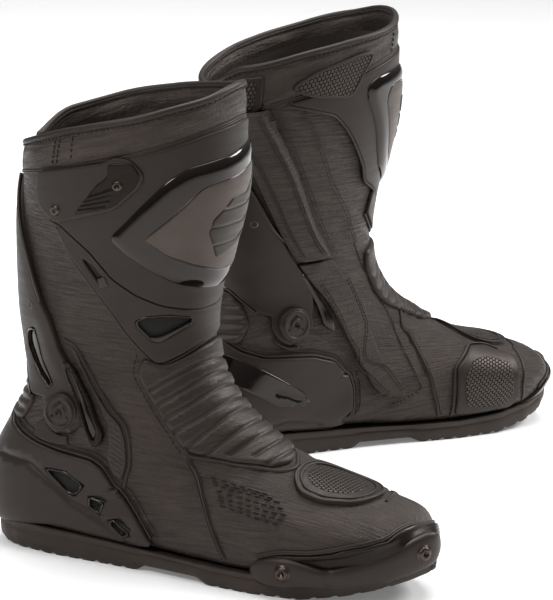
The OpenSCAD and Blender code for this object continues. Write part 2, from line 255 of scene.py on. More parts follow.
def spread(u, v, along_foot=False):
    """Texture coordinates in millimetres; the foot's grain runs along the foot."""
    a, b = arc(u, v), np.interp(v, V_AT, V_LENGTH)
    if along_foot:
        p = shape(u, v)
        turned = ease((v - 5) / 3)
        a = (1 - turned) * (110 - abs(a)) + turned * p[..., 0]
        b = p[..., 2] - turned * (abs(p[..., 1]) - 43)
    return np.stack([a, b], -1)


def even_angles(v, count):
    """Angles from -180 to 180 evenly spread round the section at v."""
    share = np.linspace(-0.5, 0.5, count + 1)[:-1]
    turns = np.floor(share)
    return 360 * turns + look_up(ANGLE, np.full(count, v), (share - turns) * SHARES)


# ---------------------------------------------------------------- outlines and panels

class Flat:
    """Maps (u, v) near a panel to a plane in millimetres and back."""

    def __init__(self, outline):
        u = np.array(outline, float)[:, 0]
        self.u = (u.min() + u.max()) / 2
        step = np.mean([np.linalg.norm(np.diff(shape(k, V_AT), axis=0), axis=1)
                        for k in (u.min(), self.u, u.max())], axis=0)
        self.length = np.concatenate([[0], np.cumsum(np.maximum(step, 0.02))])

    def to(self, uv):
        u, v = np.asarray(uv, float).T
        return np.stack([arc(u, v) - arc(self.u, v), np.interp(v, V_AT, self.length)], -1)

    def back(self, xy):
        xy = np.asarray(xy, float)
        v = np.interp(xy[..., 1], self.length, V_AT)
        share = (xy[..., 0] + arc(self.u, v)) / look_up(ARC, v, len(AROUND))
        turns = np.floor(share)
        return 360 * turns + look_up(ANGLE, v, (share - turns) * SHARES), v


def rounded(points, radius, step, closed=True):
    """The outline through the points, its corners rounded, sampled about every step."""
    pts = np.asarray(points, float)
    n = len(pts)
    out = []
    for i in range(n):
        p = pts[i]
        if not closed and i in (0, n - 1):
            out.append(p)
            continue
        before, after = pts[i - 1] - p, pts[(i + 1) % n] - p
        lb, la = np.linalg.norm(before), np.linalg.norm(after)
        r = min(radius, lb * 0.48, la * 0.48)
        a, b = p + before / lb * r, p + after / la * r
        count = max(2, int(math.ceil(r * 1.6 / step)))
        for t in np.linspace(0, 1, count + 1):
            out.append((1 - t) ** 2 * a + 2 * t * (1 - t) * p + t * t * b)
    dense = []
    m = len(out)
    for i in range(m if closed else m - 1):
        a, b = out[i], out[(i + 1) % m]
        k = max(1, int(round(np.linalg.norm(b - a) / step)))
        dense += [a + (b - a) * j / k for j in range(k)]
    if not closed:
        dense.append(out[-1])
    keep = [dense[0]]
    for p in dense[1:]:
        if np.linalg.norm(p - keep[-1]) > step * 0.25:
            keep.append(p)
    if closed and np.linalg.norm(keep[0] - keep[-1]) < step * 0.25:
        keep.pop()
    return np.array(keep)


def distance(points, line, closed):
    """Distance of each point to a polyline."""
    a = line if closed else line[:-1]
    b = np.roll(line, -1, axis=0) if closed else line[1:]
    ab = b - a
    length = np.maximum((ab ** 2).sum(1), 1e-12)
    best = np.full(len(points), 1e9)
    for k in range(0, len(points), 2000):
        p = points[k:k + 2000, None]
        t = np.clip(((p - a) * ab).sum(-1) / length, 0, 1)
        best[k:k + 2000] = np.sqrt((((a + t[..., None] * ab) - p) ** 2).sum(-1)).min(1)
    return best


def inside(points, loop):
    """Whether each point lies within the loop."""
    x, y = points[:, 0], points[:, 1]
    result = np.zeros(len(points), bool)
    for (x0, y0), (x1, y1) in zip(loop, np.roll(loop, -1, axis=0)):
        crosses = (y0 > y) != (y1 > y)
        if y0 != y1:
            result ^= crosses & (x < (x1 - x0) * (y - y0) / (y1 - y0) + x0)
    return result


def offset_line(line, d, closed, flat=None):
    """The polyline moved sideways by d, to its left when d is plus; with flat, d is true on the skin."""
    if closed:
        tangent = np.roll(line, -1, axis=0) - np.roll(line, 1, axis=0)
    else:
        tangent = np.gradient(line, axis=0)
    tangent /= np.maximum(np.linalg.norm(tangent, axis=1, keepdims=True), 1e-9)
    side = np.stack([-tangent[:, 1], tangent[:, 0]], 1)
    if flat is None:
        return line + side * d
    true = np.linalg.norm(shape(*flat.back(line + side * 0.5)) - shape(*flat.back(line)), axis=1) / 0.5
    return line + side * (d / np.clip(true, 0.25, 4))[:, None]


def area(loop):
    """Area in the loop, plus when it runs anticlockwise."""
    x, y = loop[:, 0], loop[:, 1]
    return 0.5 * (x * np.roll(y, -1) - y * np.roll(x, -1)).sum()


def panel(name, outline, finish, base=0.2, thick=1.6, edge=1.4, corner=4.0, res=3.2,
          holes=(), hole_corner=2.0, lines=(), relief=None):
    """A moulded or sewn panel on the skin with rounded edges, holes, raised or sunk lines and relief.

    outline and holes are lists of (u, v). A line is (path, half-width, height).
    relief is a function of u, v and the distance to the edge in millimetres.
    """
    flat = Flat(outline)
    loops = [rounded(flat.to(outline), corner, 1.6)]
    loops += [rounded(flat.to(h), hole_corner, 1.2) for h in holes]
    if area(loops[0]) < 0:
        loops[0] = loops[0][::-1]
    for i in range(1, len(loops)):
        if area(loops[i]) > 0:
            loops[i] = loops[i][::-1]
    paths = [(rounded(flat.to(p), 3.0, 1.4, False), w, h) for p, w, h in lines]
    solid_loops = [shape(*flat.back(loop)) for loop in loops]
    solid_paths = [shape(*flat.back(path[0])) for path in paths]

    def edge_distance(p):
        points = shape(*flat.back(p))
        return np.min([distance(points, loop, True) for loop in solid_loops], axis=0)

    extra = []
    for loop in loops:
        for d in (0.12, 0.3 * edge, 0.62 * edge, edge, edge + 1.2):
            ring = offset_line(loop, d, True, flat)
            extra.append(ring[edge_distance(ring) > d * 0.8])
    rings = np.concatenate(extra)
    low, high = loops[0].min(0), loops[0].max(0)
    xs, ys = np.arange(low[0], high[0], res), np.arange(low[1], high[1], res * 0.87)
    gx, gy = np.meshgrid(xs, ys)
    gx = gx + (np.arange(len(ys)) % 2)[:, None] * res / 2
    inner = np.stack([gx.ravel(), gy.ravel()], 1)
    inner = inner[inside(inner, loops[0])]
    inner = inner[edge_distance(inner) > edge + 1.2 + res * 0.35]
    near_lines = []
    for (path, w, _), solid in zip(paths, solid_paths):
        inner = inner[distance(shape(*flat.back(inner)), solid, False) > w + 0.5]
        for d in (0, 0.5 * w, -0.5 * w, w, -w):
            row = offset_line(path, d, False, flat) if d else path
            near_lines.append(row[edge_distance(row) > max(0.35, 0.2 * edge)])
    free = np.concatenate([rings, inner] + near_lines)
    free = free[inside(free, loops[0])]
    for hole in loops[1:]:
        free = free[~inside(free, hole)]
    _, first = np.unique(np.round(free / 0.3).astype(int), axis=0, return_index=True)
    free = free[np.sort(first)]

    fixed = np.concatenate(loops)
    edges, start = [], 0
    for loop in loops:
        n = len(loop)
        edges += [(start + i, start + (i + 1) % n) for i in range(n)]
        start += n
    every = np.concatenate([fixed, free])
    verts, _, faces, _, _, _ = delaunay_2d_cdt([Vector(p) for p in every.tolist()], edges, [], 0, 1e-5)
    xy = np.array([(p.x, p.y) for p in verts])
    tri = np.array([f[:] for f in faces if len(f) == 3])
    middle = xy[tri].mean(1)
    keep = inside(middle, loops[0])
    for hole in loops[1:]:
        keep &= ~inside(middle, hole)
    tri = tri[keep]
    used, inverse = np.unique(tri, return_inverse=True)
    tri, xy = inverse.reshape(-1, 3), xy[used]

    d = edge_distance(xy)
    round_edge = np.sqrt(np.clip(1 - (1 - np.clip(d / edge, 0, 1)) ** 2, 0, 1))
    h = base + thick * round_edge
    u, v = flat.back(xy)
    points = shape(u, v)
    for (_, w, height), solid in zip(paths, solid_paths):
        near = np.clip(distance(points, solid, False) / w, 0, 1)
        h += height * np.cos(near * math.pi / 2) ** 2
    if relief is not None:
        h += relief(u, v, d) * ease(d / max(edge, 1.0) - 0.6)
    h = np.where(d < 0.02, base - SKIRT, h)
    corners = xy[tri]
    turn = np.cross(corners[:, 1] - corners[:, 0], corners[:, 2] - corners[:, 0])
    tri = np.where(turn[:, None] < 0, tri, tri[:, ::-1])
    return mesh_object(name, skin(u, v, h), tri.tolist(), finish, xy)


# One stitch: places along it and its thickness there.
STITCH = [(-0.5, 0.3), (-0.36, 0.85), (0, 1.0), (0.36, 0.85), (0.5, 0.3)]


def stitches(name, paths, finish, h=1.6, pitch=3.4, length=2.5, radius=0.42):
    """Rows of sewn thread along (u, v) paths."""
    points, faces, sides = [], [], 6
    for path in paths:
        flat = Flat(path)
        line = rounded(flat.to(path), 6.0, pitch, closed=False)
        for a, b in zip(line[:-1], line[1:]):
            ends = skin(*flat.back(np.array([a, b])), h + np.zeros(2))
            middle, along = ends.mean(0), ends[1] - ends[0]
            gap = np.linalg.norm(along)
            if gap < 0.5:
                continue
            along /= gap
            up = normal(*[np.asarray(c) for c in flat.back((a + b) / 2)])
            across = np.cross(up, along)
            reach = min(length, gap * 0.8)
            start = len(points)
            for place, fat in STITCH:
                for k in range(sides):
                    t = 2 * math.pi * k / sides
                    points.append(middle + along * place * reach
                                  + radius * fat * (math.cos(t) * across + 0.8 * math.sin(t) * up))
            for i in range(len(STITCH) - 1):
                for k in range(sides):
                    n = (k + 1) % sides
                    faces.append((start + i * sides + k, start + i * sides + n,
                                  start + (i + 1) * sides + n, start + (i + 1) * sides + k))
            faces.append(tuple(start + k for k in range(sides))[::-1])
            faces.append(tuple(start + (len(STITCH) - 1) * sides + k for k in range(sides)))
    return mesh_object(name, np.array(points), faces, finish)


def shifted(path, d):
    """A (u, v) path moved sideways by d millimetres on the skin."""
    flat = Flat(path)
    line = rounded(flat.to(path), 4.0, 5.0, closed=False)
    u, v = flat.back(offset_line(line, d, False))
    return list(zip(u.tolist(), v.tolist()))


def tube(name, path, finish, radius=1.0, h=1.0, closed=False, squash=0.8):
    """Piping or a moulded bead along a (u, v) path."""
    flat = Flat(path)
    u, v = flat.back(rounded(flat.to(path), 6.0, 2.5, closed))
    centre = skin(u, v, np.full(len(u), h))
    up = normal(u, v)
    along = np.roll(centre, -1, 0) - np.roll(centre, 1, 0) if closed else np.gradient(centre, axis=0)
    along /= np.linalg.norm(along, axis=1, keepdims=True)
    across = np.cross(up, along)
    turn = np.linspace(0, 2 * math.pi, 8, endpoint=False)[None, :, None]
    points = centre[:, None] + radius * (np.cos(turn) * across[:, None]
                                         + squash * np.sin(turn) * up[:, None])
    return grid(name, points, finish, ring=True, closed=closed)


def lathe(name, centre, axis, profile, finish, sides=48):
    """A turned piece: profile rows are (radius, height) along axis from centre, and 6 for a hexagon."""
    axis = np.array(axis, float) / np.linalg.norm(axis)
    side = np.cross(axis, (0, 0, 1.0) if abs(axis[2]) < 0.9 else (1.0, 0, 0))
    side /= np.linalg.norm(side)
    other = np.cross(axis, side)
    turn = np.linspace(0, 2 * math.pi, sides, endpoint=False)
    flat_side = 0.93 / np.cos(turn % (math.pi / 3) - math.pi / 6)
    points = []
    for r, h, *hexagon in profile:
        size = r * (flat_side if hexagon else np.ones(sides))
        points.append(np.array(centre) + axis * h + size[:, None] * (np.cos(turn)[:, None] * side
                                                                     + np.sin(turn)[:, None] * other))
    return grid(name, points, finish, ring=True, high=True)


# ---------------------------------------------------------------- materials

class Nodes:
    """Small helper to write a node tree in a few lines."""

    def __init__(self, name):
        self.material = bpy.data.materials.new(name)
        self.material.use_nodes = True
        self.tree = self.material.node_tree
        self.shader = self.tree.nodes["Principled BSDF"]

    def add(self, kind, inputs=None, **settings):
        node = self.tree.nodes.new(kind)
        for key, value in settings.items():
            setattr(node, key, value)
        for key, value in (inputs or {}).items():
            self.put(node.inputs[key], value)
        return node

    def put(self, socket, value):
        if isinstance(value, bpy.types.NodeSocket):
            self.tree.links.new(value, socket)
        else:
            socket.default_value = value

    def set(self, **inputs):
        """Inputs of the main shader, with _ for a space."""
        for key, value in inputs.items():
            self.put(self.shader.inputs[key.replace("_", " ")], value)

    def math(self, operation, a, b=0.0):
        node = self.add("ShaderNodeMath", operation=operation)
        self.put(node.inputs[0], a)
        self.put(node.inputs[1], b)
        return node.outputs[0]

    def place(self, stretch, uv=True):
        """Coordinates in millimetres, times stretch along each axis."""
        coord = self.add("ShaderNodeTexCoord")
        source = coord.outputs["UV" if uv else "Object"]
        return self.add("ShaderNodeMapping", {"Vector": source,
                                              "Scale": [1000 * s for s in stretch]}).outputs[0]

    def noise(self, stretch, detail=3.0, rough=0.55, uv=True):
        return self.add("ShaderNodeTexNoise", {"Vector": self.place(stretch, uv), "Scale": 1.0,
                                               "Detail": detail, "Roughness": rough}).outputs["Fac"]

    def cells(self, stretch):
        return self.add("ShaderNodeTexVoronoi",
                        {"Vector": self.place(stretch), "Scale": 1.1}).outputs["Distance"]

    def ramp(self, fac, low, high, start=0.3, end=0.7):
        """From low to high as fac goes from start to end."""
        return self.add("ShaderNodeMapRange", {"Value": fac, "From Min": start, "From Max": end,
                                               "To Min": low, "To Max": high}).outputs[0]

    def tint(self, fac, dark, light):
        """Between two colours, each a tuple or a socket."""
        node = self.add("ShaderNodeMix", {"Factor": fac}, data_type="RGBA")
        for socket, color in ((node.inputs[6], dark), (node.inputs[7], light)):
            self.put(socket, (*color, 1) if isinstance(color, tuple) else color)
        return node.outputs[2]

    def worn(self, color, light, amount=0.5, uv=True):
        """Lighter along the raised edges."""
        pointed = self.add("ShaderNodeNewGeometry").outputs["Pointiness"]
        edge = self.ramp(pointed, 0, amount, 0.52, 0.6)
        return self.tint(self.math("MULTIPLY", edge, self.noise((0.08, 0.08, 0.08), uv=uv)), color, light)

    def bump(self, layers):
        """layers: (height, distance in millimetres)."""
        last = None
        for height, size in layers:
            node = self.add("ShaderNodeBump", {"Height": height, "Distance": size * MM, "Strength": 1.0})
            if last is not None:
                self.put(node.inputs["Normal"], last)
            last = node.outputs[0]
        self.put(self.shader.inputs["Normal"], last)


WARM = (1.0, 0.86, 0.8, 1.0)         # tint of every shine


def grey(value):
    """A slightly warm grey."""
    return (value * 1.3, value, value * 0.84)


def leather(name, level, brushed=0.0, gloss=0.5, grain=1.0):
    """Dark leather; brushed adds streaks along the grain, in the bump and shine and in the colour, where
    the lighter streaks are partly the leather's tone and partly painted highlight.
    """
    m = Nodes(name)
    pores = m.cells((0.55, 0.55, 0.55))
    crease = m.noise((0.3, 0.3, 0.3), detail=6, rough=0.7)
    streak = m.noise((0.045, 0.55, 1), detail=6, rough=0.65)
    patch = m.noise((0.03, 0.03, 0.03), detail=3)
    mottle_and_sheen = m.math("ADD", m.math("MULTIPLY", streak, 0.6), m.math("MULTIPLY", patch, 0.4))
    # colour: lighter along the streaks, partly the leather's own mottled tone and partly painted highlight
    # for the streaky sheen
    color = m.tint(m.ramp(mottle_and_sheen, 0, 1, 0.38, 0.62), grey(level * 0.55),
                   grey(level * (1.2 + 0.8 * brushed)))
    streaky = m.ramp(streak, gloss + 0.12 * brushed, gloss - 0.16 * brushed, 0.4, 0.62)
    shine = m.math("ADD", m.ramp(crease, -0.07, 0.1), streaky)
    m.set(Base_Color=m.worn(color, grey(level * 3.0), 0.5), Roughness=shine, Specular_IOR_Level=0.36,
          Specular_Tint=WARM)
    m.bump([(pores, 0.16 * grain), (crease, 0.6 * grain), (streak, 1.5 * brushed)])
    return m.material


def plastic(name, level, rough, speckle=0.05, coat=0.0, wear=0.4, shine=0.3):
    """Moulded plastic, with faint smears and lighter wear on its edges."""
    m = Nodes(name)
    fine = m.noise((2.2, 2.2, 2.2), detail=2)
    patch = m.noise((0.04, 0.04, 0.04), detail=4)
    smear = m.noise((0.02, 0.25, 0.1), detail=3)
    color = m.tint(m.ramp(patch, 0, 1), grey(level * 0.85), grey(level * 1.15))
    m.set(Base_Color=m.worn(color, grey(level * 2.2 + 0.01), wear), Coat_Weight=coat, Coat_Roughness=0.06,
          Roughness=m.ramp(smear, rough - 0.04, rough + 0.07), Specular_IOR_Level=shine,
          Specular_Tint=WARM)
    m.bump([(fine, speckle), (patch, 0.12)])
    return m.material


def rubber(name, level):
    """Rough sole rubber."""
    m = Nodes(name)
    fine = m.noise((1.5, 1.5, 1.5), detail=4, uv=False)
    patch = m.noise((0.03, 0.03, 0.06), detail=5, uv=False)
    color = m.tint(m.ramp(patch, 0, 1), grey(level * 0.8), grey(level * 1.35))
    m.set(Base_Color=m.worn(color, grey(level * 3), 0.6, uv=False), Roughness=m.ramp(fine, 0.5, 0.68),
          Specular_IOR_Level=0.3, Specular_Tint=WARM)
    m.bump([(fine, 0.16), (patch, 0.2)])
    return m.material


def knit(name, level, size=0.9):
    """Woven cloth, thread or mesh."""
    m = Nodes(name)
    weave = {"Vector": m.place((size, size, size)), "Scale": 1.0, "Distortion": 0.6, "Detail": 1.0}
    both = m.math("MULTIPLY", *(m.add("ShaderNodeTexWave", weave, bands_direction=way).outputs["Fac"]
                                for way in "XY"))
    patch = m.noise((0.05, 0.05, 0.05))
    fuzz = m.noise((3, 3, 3))
    shade = m.math("ADD", m.math("MULTIPLY", both, 0.6), m.math("MULTIPLY", patch, 0.4))
    m.set(Base_Color=m.tint(shade, grey(level * 0.6), grey(level * 1.5)), Roughness=0.92,
          Specular_IOR_Level=0.2, Sheen_Weight=0.12, Sheen_Roughness=0.5)
    m.bump([(both, 0.35), (fuzz, 0.1)])
    return m.material


def hexagons(name, level):
    """Small raised cells in a honeycomb grid, 3 mm apart, with painted shade in the grooves between them.
    """
    m = Nodes(name)
    place = m.place((1 / 3, 0.577 / 3, 1))
    nearest = None
    for shift in (0.0, 0.5):
        spot = place
        for operation, *by in (("ADD", (shift, shift, 0)), ("FRACTION",), ("ADD", (-0.5, -0.5, 0)),
                               ("MULTIPLY", (1, 1.732, 0))):
            inputs = dict(enumerate([spot] + by))
            spot = m.add("ShaderNodeVectorMath", inputs, operation=operation).outputs[0]
        far = m.add("ShaderNodeVectorMath", {0: spot}, operation="LENGTH").outputs["Value"]
        nearest = far if nearest is None else m.math("MINIMUM", nearest, far)
    raised = m.ramp(nearest, 1, 0, 0.34, 0.46)
    fine = m.noise((2, 2, 2), detail=2)
    # painted shade: the grooves are painted much darker than the cell tops, and their reflection is turned
    # down
    m.set(Base_Color=m.tint(raised, grey(level * 0.3), grey(level * 1.5)),
          Roughness=m.ramp(fine, 0.4, 0.55), Specular_IOR_Level=m.ramp(raised, 0.05, 0.5, 0, 1),
          Specular_Tint=WARM)
    m.bump([(raised, 0.7), (fine, 0.05)])
    return m.material


def steel(name, level, rough=0.35):
    """Brushed metal."""
    m = Nodes(name)
    lines = m.noise((0.2, 3, 3), uv=False)
    patch = m.noise((0.1, 0.1, 0.1), uv=False)
    m.set(Base_Color=m.tint(m.ramp(patch, 0, 1), grey(level * 0.85), grey(level * 1.15)), Metallic=1.0,
          Roughness=m.ramp(lines, rough - 0.08, rough + 0.12))
    m.bump([(lines, 0.03)])
    return m.material


BRUSHED = leather("brushed_leather", 0.012, brushed=1.0, gloss=0.45)
SMOOTH = leather("smooth_leather", 0.009, brushed=0.1, gloss=0.48, grain=0.6)
STRETCH = leather("stretch_panel", 0.012, brushed=0.15, gloss=0.44, grain=0.5)
MOULDED = plastic("moulded", 0.0105, 0.42, speckle=0.05)
SOFT = plastic("soft_moulded", 0.009, 0.46, speckle=0.06)
SATIN = plastic("satin_guard", 0.006, 0.26, speckle=0.02, shine=0.14)
GLOSS = plastic("gloss", 0.003, 0.1, speckle=0.0, coat=0.15, wear=0.1)
INSERT_MATERIAL = plastic("grey_insert", 0.04, 0.42, speckle=0.04)
RUBBER = rubber("sole_rubber", 0.02)
THREAD = knit("thread", 0.02, 3.0)
LINING = knit("lining", 0.03)
MESH = knit("mesh", 0.006, 1.4)
HEX = hexagons("hex_grip", 0.014)
SCREW = steel("black_screw", 0.05, 0.32)
STEEL = steel("spring_steel", 0.55)
COIL = plastic("zip_coil", 0.012, 0.4)


# ---------------------------------------------------------------- outlines, as (u, v)

COLLAR_SEAM = [(-180, 0.95), (-150, 1.0), (-112, 1.06), (-74, 1.08), (-46, 1.0), (-20, 0.9), (8, 0.8),
               (60, 0.78), (115, 0.84), (140, 0.9), (180, 0.95)]
SHIN_TOP = [(110, 0.9), (60, 0.84), (8, 0.86), (-20, 0.95), (-46, 1.05), (-74, 1.13), (-112, 1.1)]
SHIN_FRONT = [(-106, 2.15), (-89, 2.7), (-77, 3.2), (-63, 3.5), (-47, 3.7), (-30, 3.8), (-13, 3.85),
              (8, 3.8), (30, 3.6), (46, 3.3)]
SHIN_LOW = [(-112, 2.05)] + SHIN_FRONT + [(62, 3.05), (66, 2.75), (86, 1.8), (92, 1.5), (120, 0.95)]
MEDIAL_HEX = [(119, 0.66), (104, 0.5), (78, 0.42), (70, 0.5), (84, 1.2), (88, 1.2), (105, 0.92)]
SHIELD = [(-8, 1.4), (-38, 1.45), (-51, 1.6), (-65, 1.95), (-79, 2.4), (-79, 2.5), (-71, 2.75), (-55, 3.1),
          (-37, 3.35), (-14, 3.48), (0, 3.5), (12, 3.45), (30, 3.25), (48, 2.9), (57, 2.5), (66, 1.9),
          (74, 1.4), (74, 1.15), (66, 1.05), (35, 1.15), (10, 1.3)]
INSERT = [(-2, 1.72), (-29, 1.78), (-50, 2.25), (-61, 2.5), (-47, 2.8), (-28, 3.02), (-6, 3.18), (8, 3.16),
          (24, 3.05), (40, 2.7), (50, 2.2), (58, 1.6), (55, 1.38), (40, 1.4), (15, 1.6)]
EMBOSS = [(8, 2.0), (-6, 2.02), (-20, 2.3), (-22, 2.5), (-12, 2.95), (10, 2.8), (26, 2.5), (34, 2.1),
          (36, 1.7), (22, 1.75)]
VENT_PLATE = [(-121, 1.05), (-84, 1.1), (-78, 1.02), (-69, 1.15), (-62, 1.45), (-65, 1.65), (-78, 1.97),
              (-108, 2.12), (-119, 1.8), (-122, 1.6)]
VENT_PAD = [(-81, 1.13), (-69, 1.18), (-64, 1.45), (-67, 1.62), (-78, 1.9), (-97, 1.98), (-87, 1.5),
            (-81, 1.36)]
WING_REAR = [(49, 3.75), (30, 4.2), (10, 4.4), (-13, 4.5), (-31, 4.72), (-47, 4.92), (-53, 4.92),
             (-67, 4.3), (-75, 3.88), (-87, 3.35), (-99, 2.75)]
WING = [(-109, 2.2)] + SHIN_FRONT + WING_REAR
WING_LOW = WING_REAR + [(-106, 2.3)]
WING_MESH = [(-63, 4.0), (-56, 3.9), (-40, 3.88), (-21, 3.98), (-23, 4.08), (-47, 4.4), (-52, 4.4),
             (-56, 4.25)]
WING_SLOT = [(-92, 2.8), (-87, 2.95), (-79, 3.3), (-84, 3.25)]
CALF_FRONT = [(195, 1.15), (206, 1.7), (216, 2.2), (226, 2.7), (240, 3.7), (247, 4.1), (251, 4.75),
              (255, 5.0), (259, 5.5)]
CALF_FRONT_IN = [(96, 5.3), (99, 4.95), (103, 4.65), (112, 4.0), (120, 3.7), (137, 2.8), (146, 2.4),
                 (158, 1.6), (168, 1.15)]
CALF_REAR = [(222, 6.2), (211, 5.75), (204, 5.3), (192, 5.1), (180, 5.08), (168, 5.1), (156, 5.2),
             (146, 5.55), (134, 6.0)]
CALF_HOLE = [(220, 4.4), (231, 4.3), (234, 5.0), (243, 5.75), (240, 5.85), (228, 5.35), (216, 4.7)]
BELLOWS = [(-60, 4.75), (-66, 5.2), (-62, 6.05), (-56, 7.4), (-54, 8.5), (-46, 9.2), (-36, 10.6),
           (-23, 11.8), (-8, 12.0), (6, 11.4), (14, 10.8), (24, 9.8), (31, 8.0), (44, 7.0), (48, 6.0),
           (47, 4.7), (10, 4.5), (-13, 4.6), (-31, 4.8), (-47, 4.98)]
# Each groove by its outer end, its middle and its inner end.
GROOVES = [((-60, 5.7), (-18, 5.02), (44, 5.45)), ((-59, 6.25), (-21, 5.45), (44, 5.95)),
           ((-57, 6.85), (-25, 5.98), (42, 6.45)), ((-57, 7.6), (-27, 6.68), (38, 6.95)),
           ((-55, 8.55), (-7, 7.0), (33, 7.6)), ((-47, 9.05), (1, 7.9), (29, 8.3)),
           ((-38, 9.55), (2, 8.95), (26, 9.1)), ((-28, 10.4), (5, 10.05), (20, 10.0)),
           ((-26, 11.3), (-8, 11.3), (9, 11.1))]
ACHILLES = [(136, 6.4), (146, 5.7), (158, 5.3), (180, 5.18), (202, 5.3), (214, 5.7), (224, 6.4), (222, 7.0),
            (202, 7.0), (180, 6.95), (158, 7.0), (138, 7.0)]
INNER_STRIP = [(104, 4.75), (98, 4.95), (91, 5.9), (87, 6.6), (86, 7.3), (91, 6.9), (95, 6.0)]
STITCH_FRONT = [(130, 0.85), (105, 2.6), (78, 4.55)]
PULL_TAB = [(173, 0.2), (162, 0.25), (136, 0.3), (137, 0.95), (156, 1.3), (168, 0.9)]
TOE_EDGE = [(-141, 13.1), (-107, 13.15), (-98, 13.45), (-94, 14.0), (-90, 14.55), (-78, 15.1), (-57, 15.5),
            (-26, 15.5), (-8, 15.6), (12, 15.95), (60, 15.9), (100, 15.4), (141, 14.9)]
TOE_PATCH = [(-2, 12.3), (14, 12.42), (27, 12.9), (32, 13.4), (27, 13.8), (12, 14.05), (-5, 14.1),
             (-24, 13.95), (-36, 13.5), (-34, 13.0), (-20, 12.5)]


def on_side(side, places, step=None):
    """The (u, v) of side-view places (x, z) on the inner (+1) or outer (-1) side, step apart if given."""
    if step:
        ends = np.array(places, float)
        places = [a + (b - a) * t for a, b in zip(ends[:-1], ends[1:])
                  for t in np.arange(0, 1, 1 / max(1, round(np.hypot(*(b - a)) / step)))] + [places[-1]]
    v = np.arange(3.0, 16.5, 0.01)
    rows = spline_rows(FAN, v)
    middle, reach = (rows[:, :2] + rows[:, 2:4]) / 2, (rows[:, 2:4] - rows[:, :2]) / 2
    found = []
    for place in places:
        gap = np.array(place, float) - middle
        cross = gap[:, 0] * reach[:, 1] - gap[:, 1] * reach[:, 0]
        a = (gap * reach).sum(1) / (reach ** 2).sum(1)
        i = np.flatnonzero((cross[:-1] * cross[1:] <= 0) & (np.abs(a[:-1]) < 1))[0]
        t = cross[i] / (cross[i] - cross[i + 1])
        at_v, at_a = v[i] + 0.01 * t, a[i] + (a[i + 1] - a[i]) * t
        power = ROUND if at_a > 0 else ROUND - SOLE_FLAT * float(on_the_foot(at_v))
        u = math.degrees(math.acos(math.copysign(abs(at_a) ** (1 / power), at_a)))
        found.append((u if side > 0 else 360 - u, at_v))
    return found


def round_ankle(side, radius, start, stop, count):
    """Arc round the ankle axis seen from the side; 0 degrees is the front, 90 the top."""
    turn = np.radians(np.linspace(start, stop, count))
    return on_side(side, [(ANKLE_X + radius * math.cos(t), ANKLE_Z + radius * math.sin(t)) for t in turn])


# Outlines on the sides of the foot, from side-view places (x, z) in millimetres.
HEEL_EDGE = (on_side(1, [(36, 19), (40, 25), (44, 31), (44, 47), (40, 58), (27, 69), (10, 74), (-10, 75.5),
                         (-30, 76), (-46, 81)], 5) + [(164, 6.6), (180, 6.6), (197, 6.75)]
             + on_side(-1, [(-53, 82), (-41, 78), (-30, 75.5), (-13, 73), (3, 71.5), (15, 70), (23, 66),
                            (31, 58), (39, 49.5), (48, 40), (57, 29), (63, 19.5)], 5))
HEEL = (HEEL_EDGE + on_side(-1, [(40, 17.5), (0, 18.5), (-40, 20)]) + [(180, 9.05)]
        + on_side(1, [(-40, 20), (0, 18.5), (20, 17.5)]))
HEEL_HOLES = [on_side(-1, hole) for hole in ([(-19, 60), (-3, 60), (11, 53), (4, 45), (-7, 51)],
                                             [(15, 46), (26, 43), (23, 35), (15, 39)],
                                             [(33, 33), (46, 26), (41, 23), (31, 30)])]
HEEL_CREASE = on_side(-1, [(-58, 62), (-32, 62), (-15, 52), (1, 41), (16, 35), (29, 28), (40, 21)], 4)
HEEL_LOW = on_side(1, [(-55, 25), (-38, 26), (-12, 29), (18, 23)])
HEEL_GLOSS = on_side(1, [(-62, 82), (-48, 76), (-28, 66), (0, 50), (8, 42), (2, 38), (-21, 40),
                         (-50, 56), (-66, 68)], 6)
HEEL_SLIT = on_side(1, [(-21, 50), (-11, 47), (-3, 43.5)])
FRONT_RING = on_side(-1, [(-9, 134), (-1, 132), (9, 117), (20, 98), (25, 90), (23, 82), (18, 79), (14, 83),
                          (10, 92), (3, 108), (-5, 122)])
FRONT_SLOT = on_side(-1, [(-5, 130), (-1, 128), (7, 115), (17, 97), (20, 90), (18, 84), (14, 90),
                          (5, 110), (-2, 122)])
RIB_EDGE = on_side(-1, [(-10, 147), (0, 144), (6, 134), (17, 119), (27, 107), (39, 97), (42, 87),
                        (43, 71), (39, 55)], 5)
RIB_PANEL = on_side(-1, [(-4, 143), (0, 142), (5, 132), (15, 117), (25, 105), (36, 96), (39.5, 87),
                         (41, 71), (38, 60), (31, 63), (27, 72), (28, 84), (25, 97), (13, 115)], 5)
VAMP_SEAM = on_side(-1, [(80, 86), (84, 81), (93, 67), (103, 50), (112, 32), (118, 20)])
TAIL = ([(81, 4.62), (103, 4.62)]
        + on_side(1, [(23, 110), (45, 74), (62, 45), (70, 38), (86, 36.5), (88, 40), (74, 59), (58, 92),
                      (45, 121)], 6))
TAIL_FRONT = on_side(1, [(38, 129), (43, 118), (55, 91), (71, 59), (84, 41)])
TAIL_REAR = on_side(1, [(14, 127), (26, 109), (48, 74), (65, 46), (71, 41)])
STITCH_TWO_LOW = on_side(1, [(47, 153), (65, 123), (85, 92), (96, 58), (103, 41), (90, 35), (78, 31)], 6)
STITCH_TWO = [(113, 1.1), (88, 2.95), (72, 3.65), STITCH_TWO_LOW[0]]
INSTEP_SEAM = on_side(1, [(98, 97), (101, 81), (105, 65), (110, 49), (114, 30), (117, 19)])
SHIFT = on_side(1, [(130, 19), (131, 36), (132, 54), (152, 66), (168, 64), (176, 60), (188, 56),
                    (186, 42), (188, 26), (180, 19)])
SHIFT_IN = on_side(1, [(138, 25), (137, 46), (147, 58), (162, 58), (180, 52), (180, 41), (181, 29),
                       (173, 22)])
TOE_LINE = on_side(1, [(197, 59), (193, 48), (191, 36), (193, 23)])
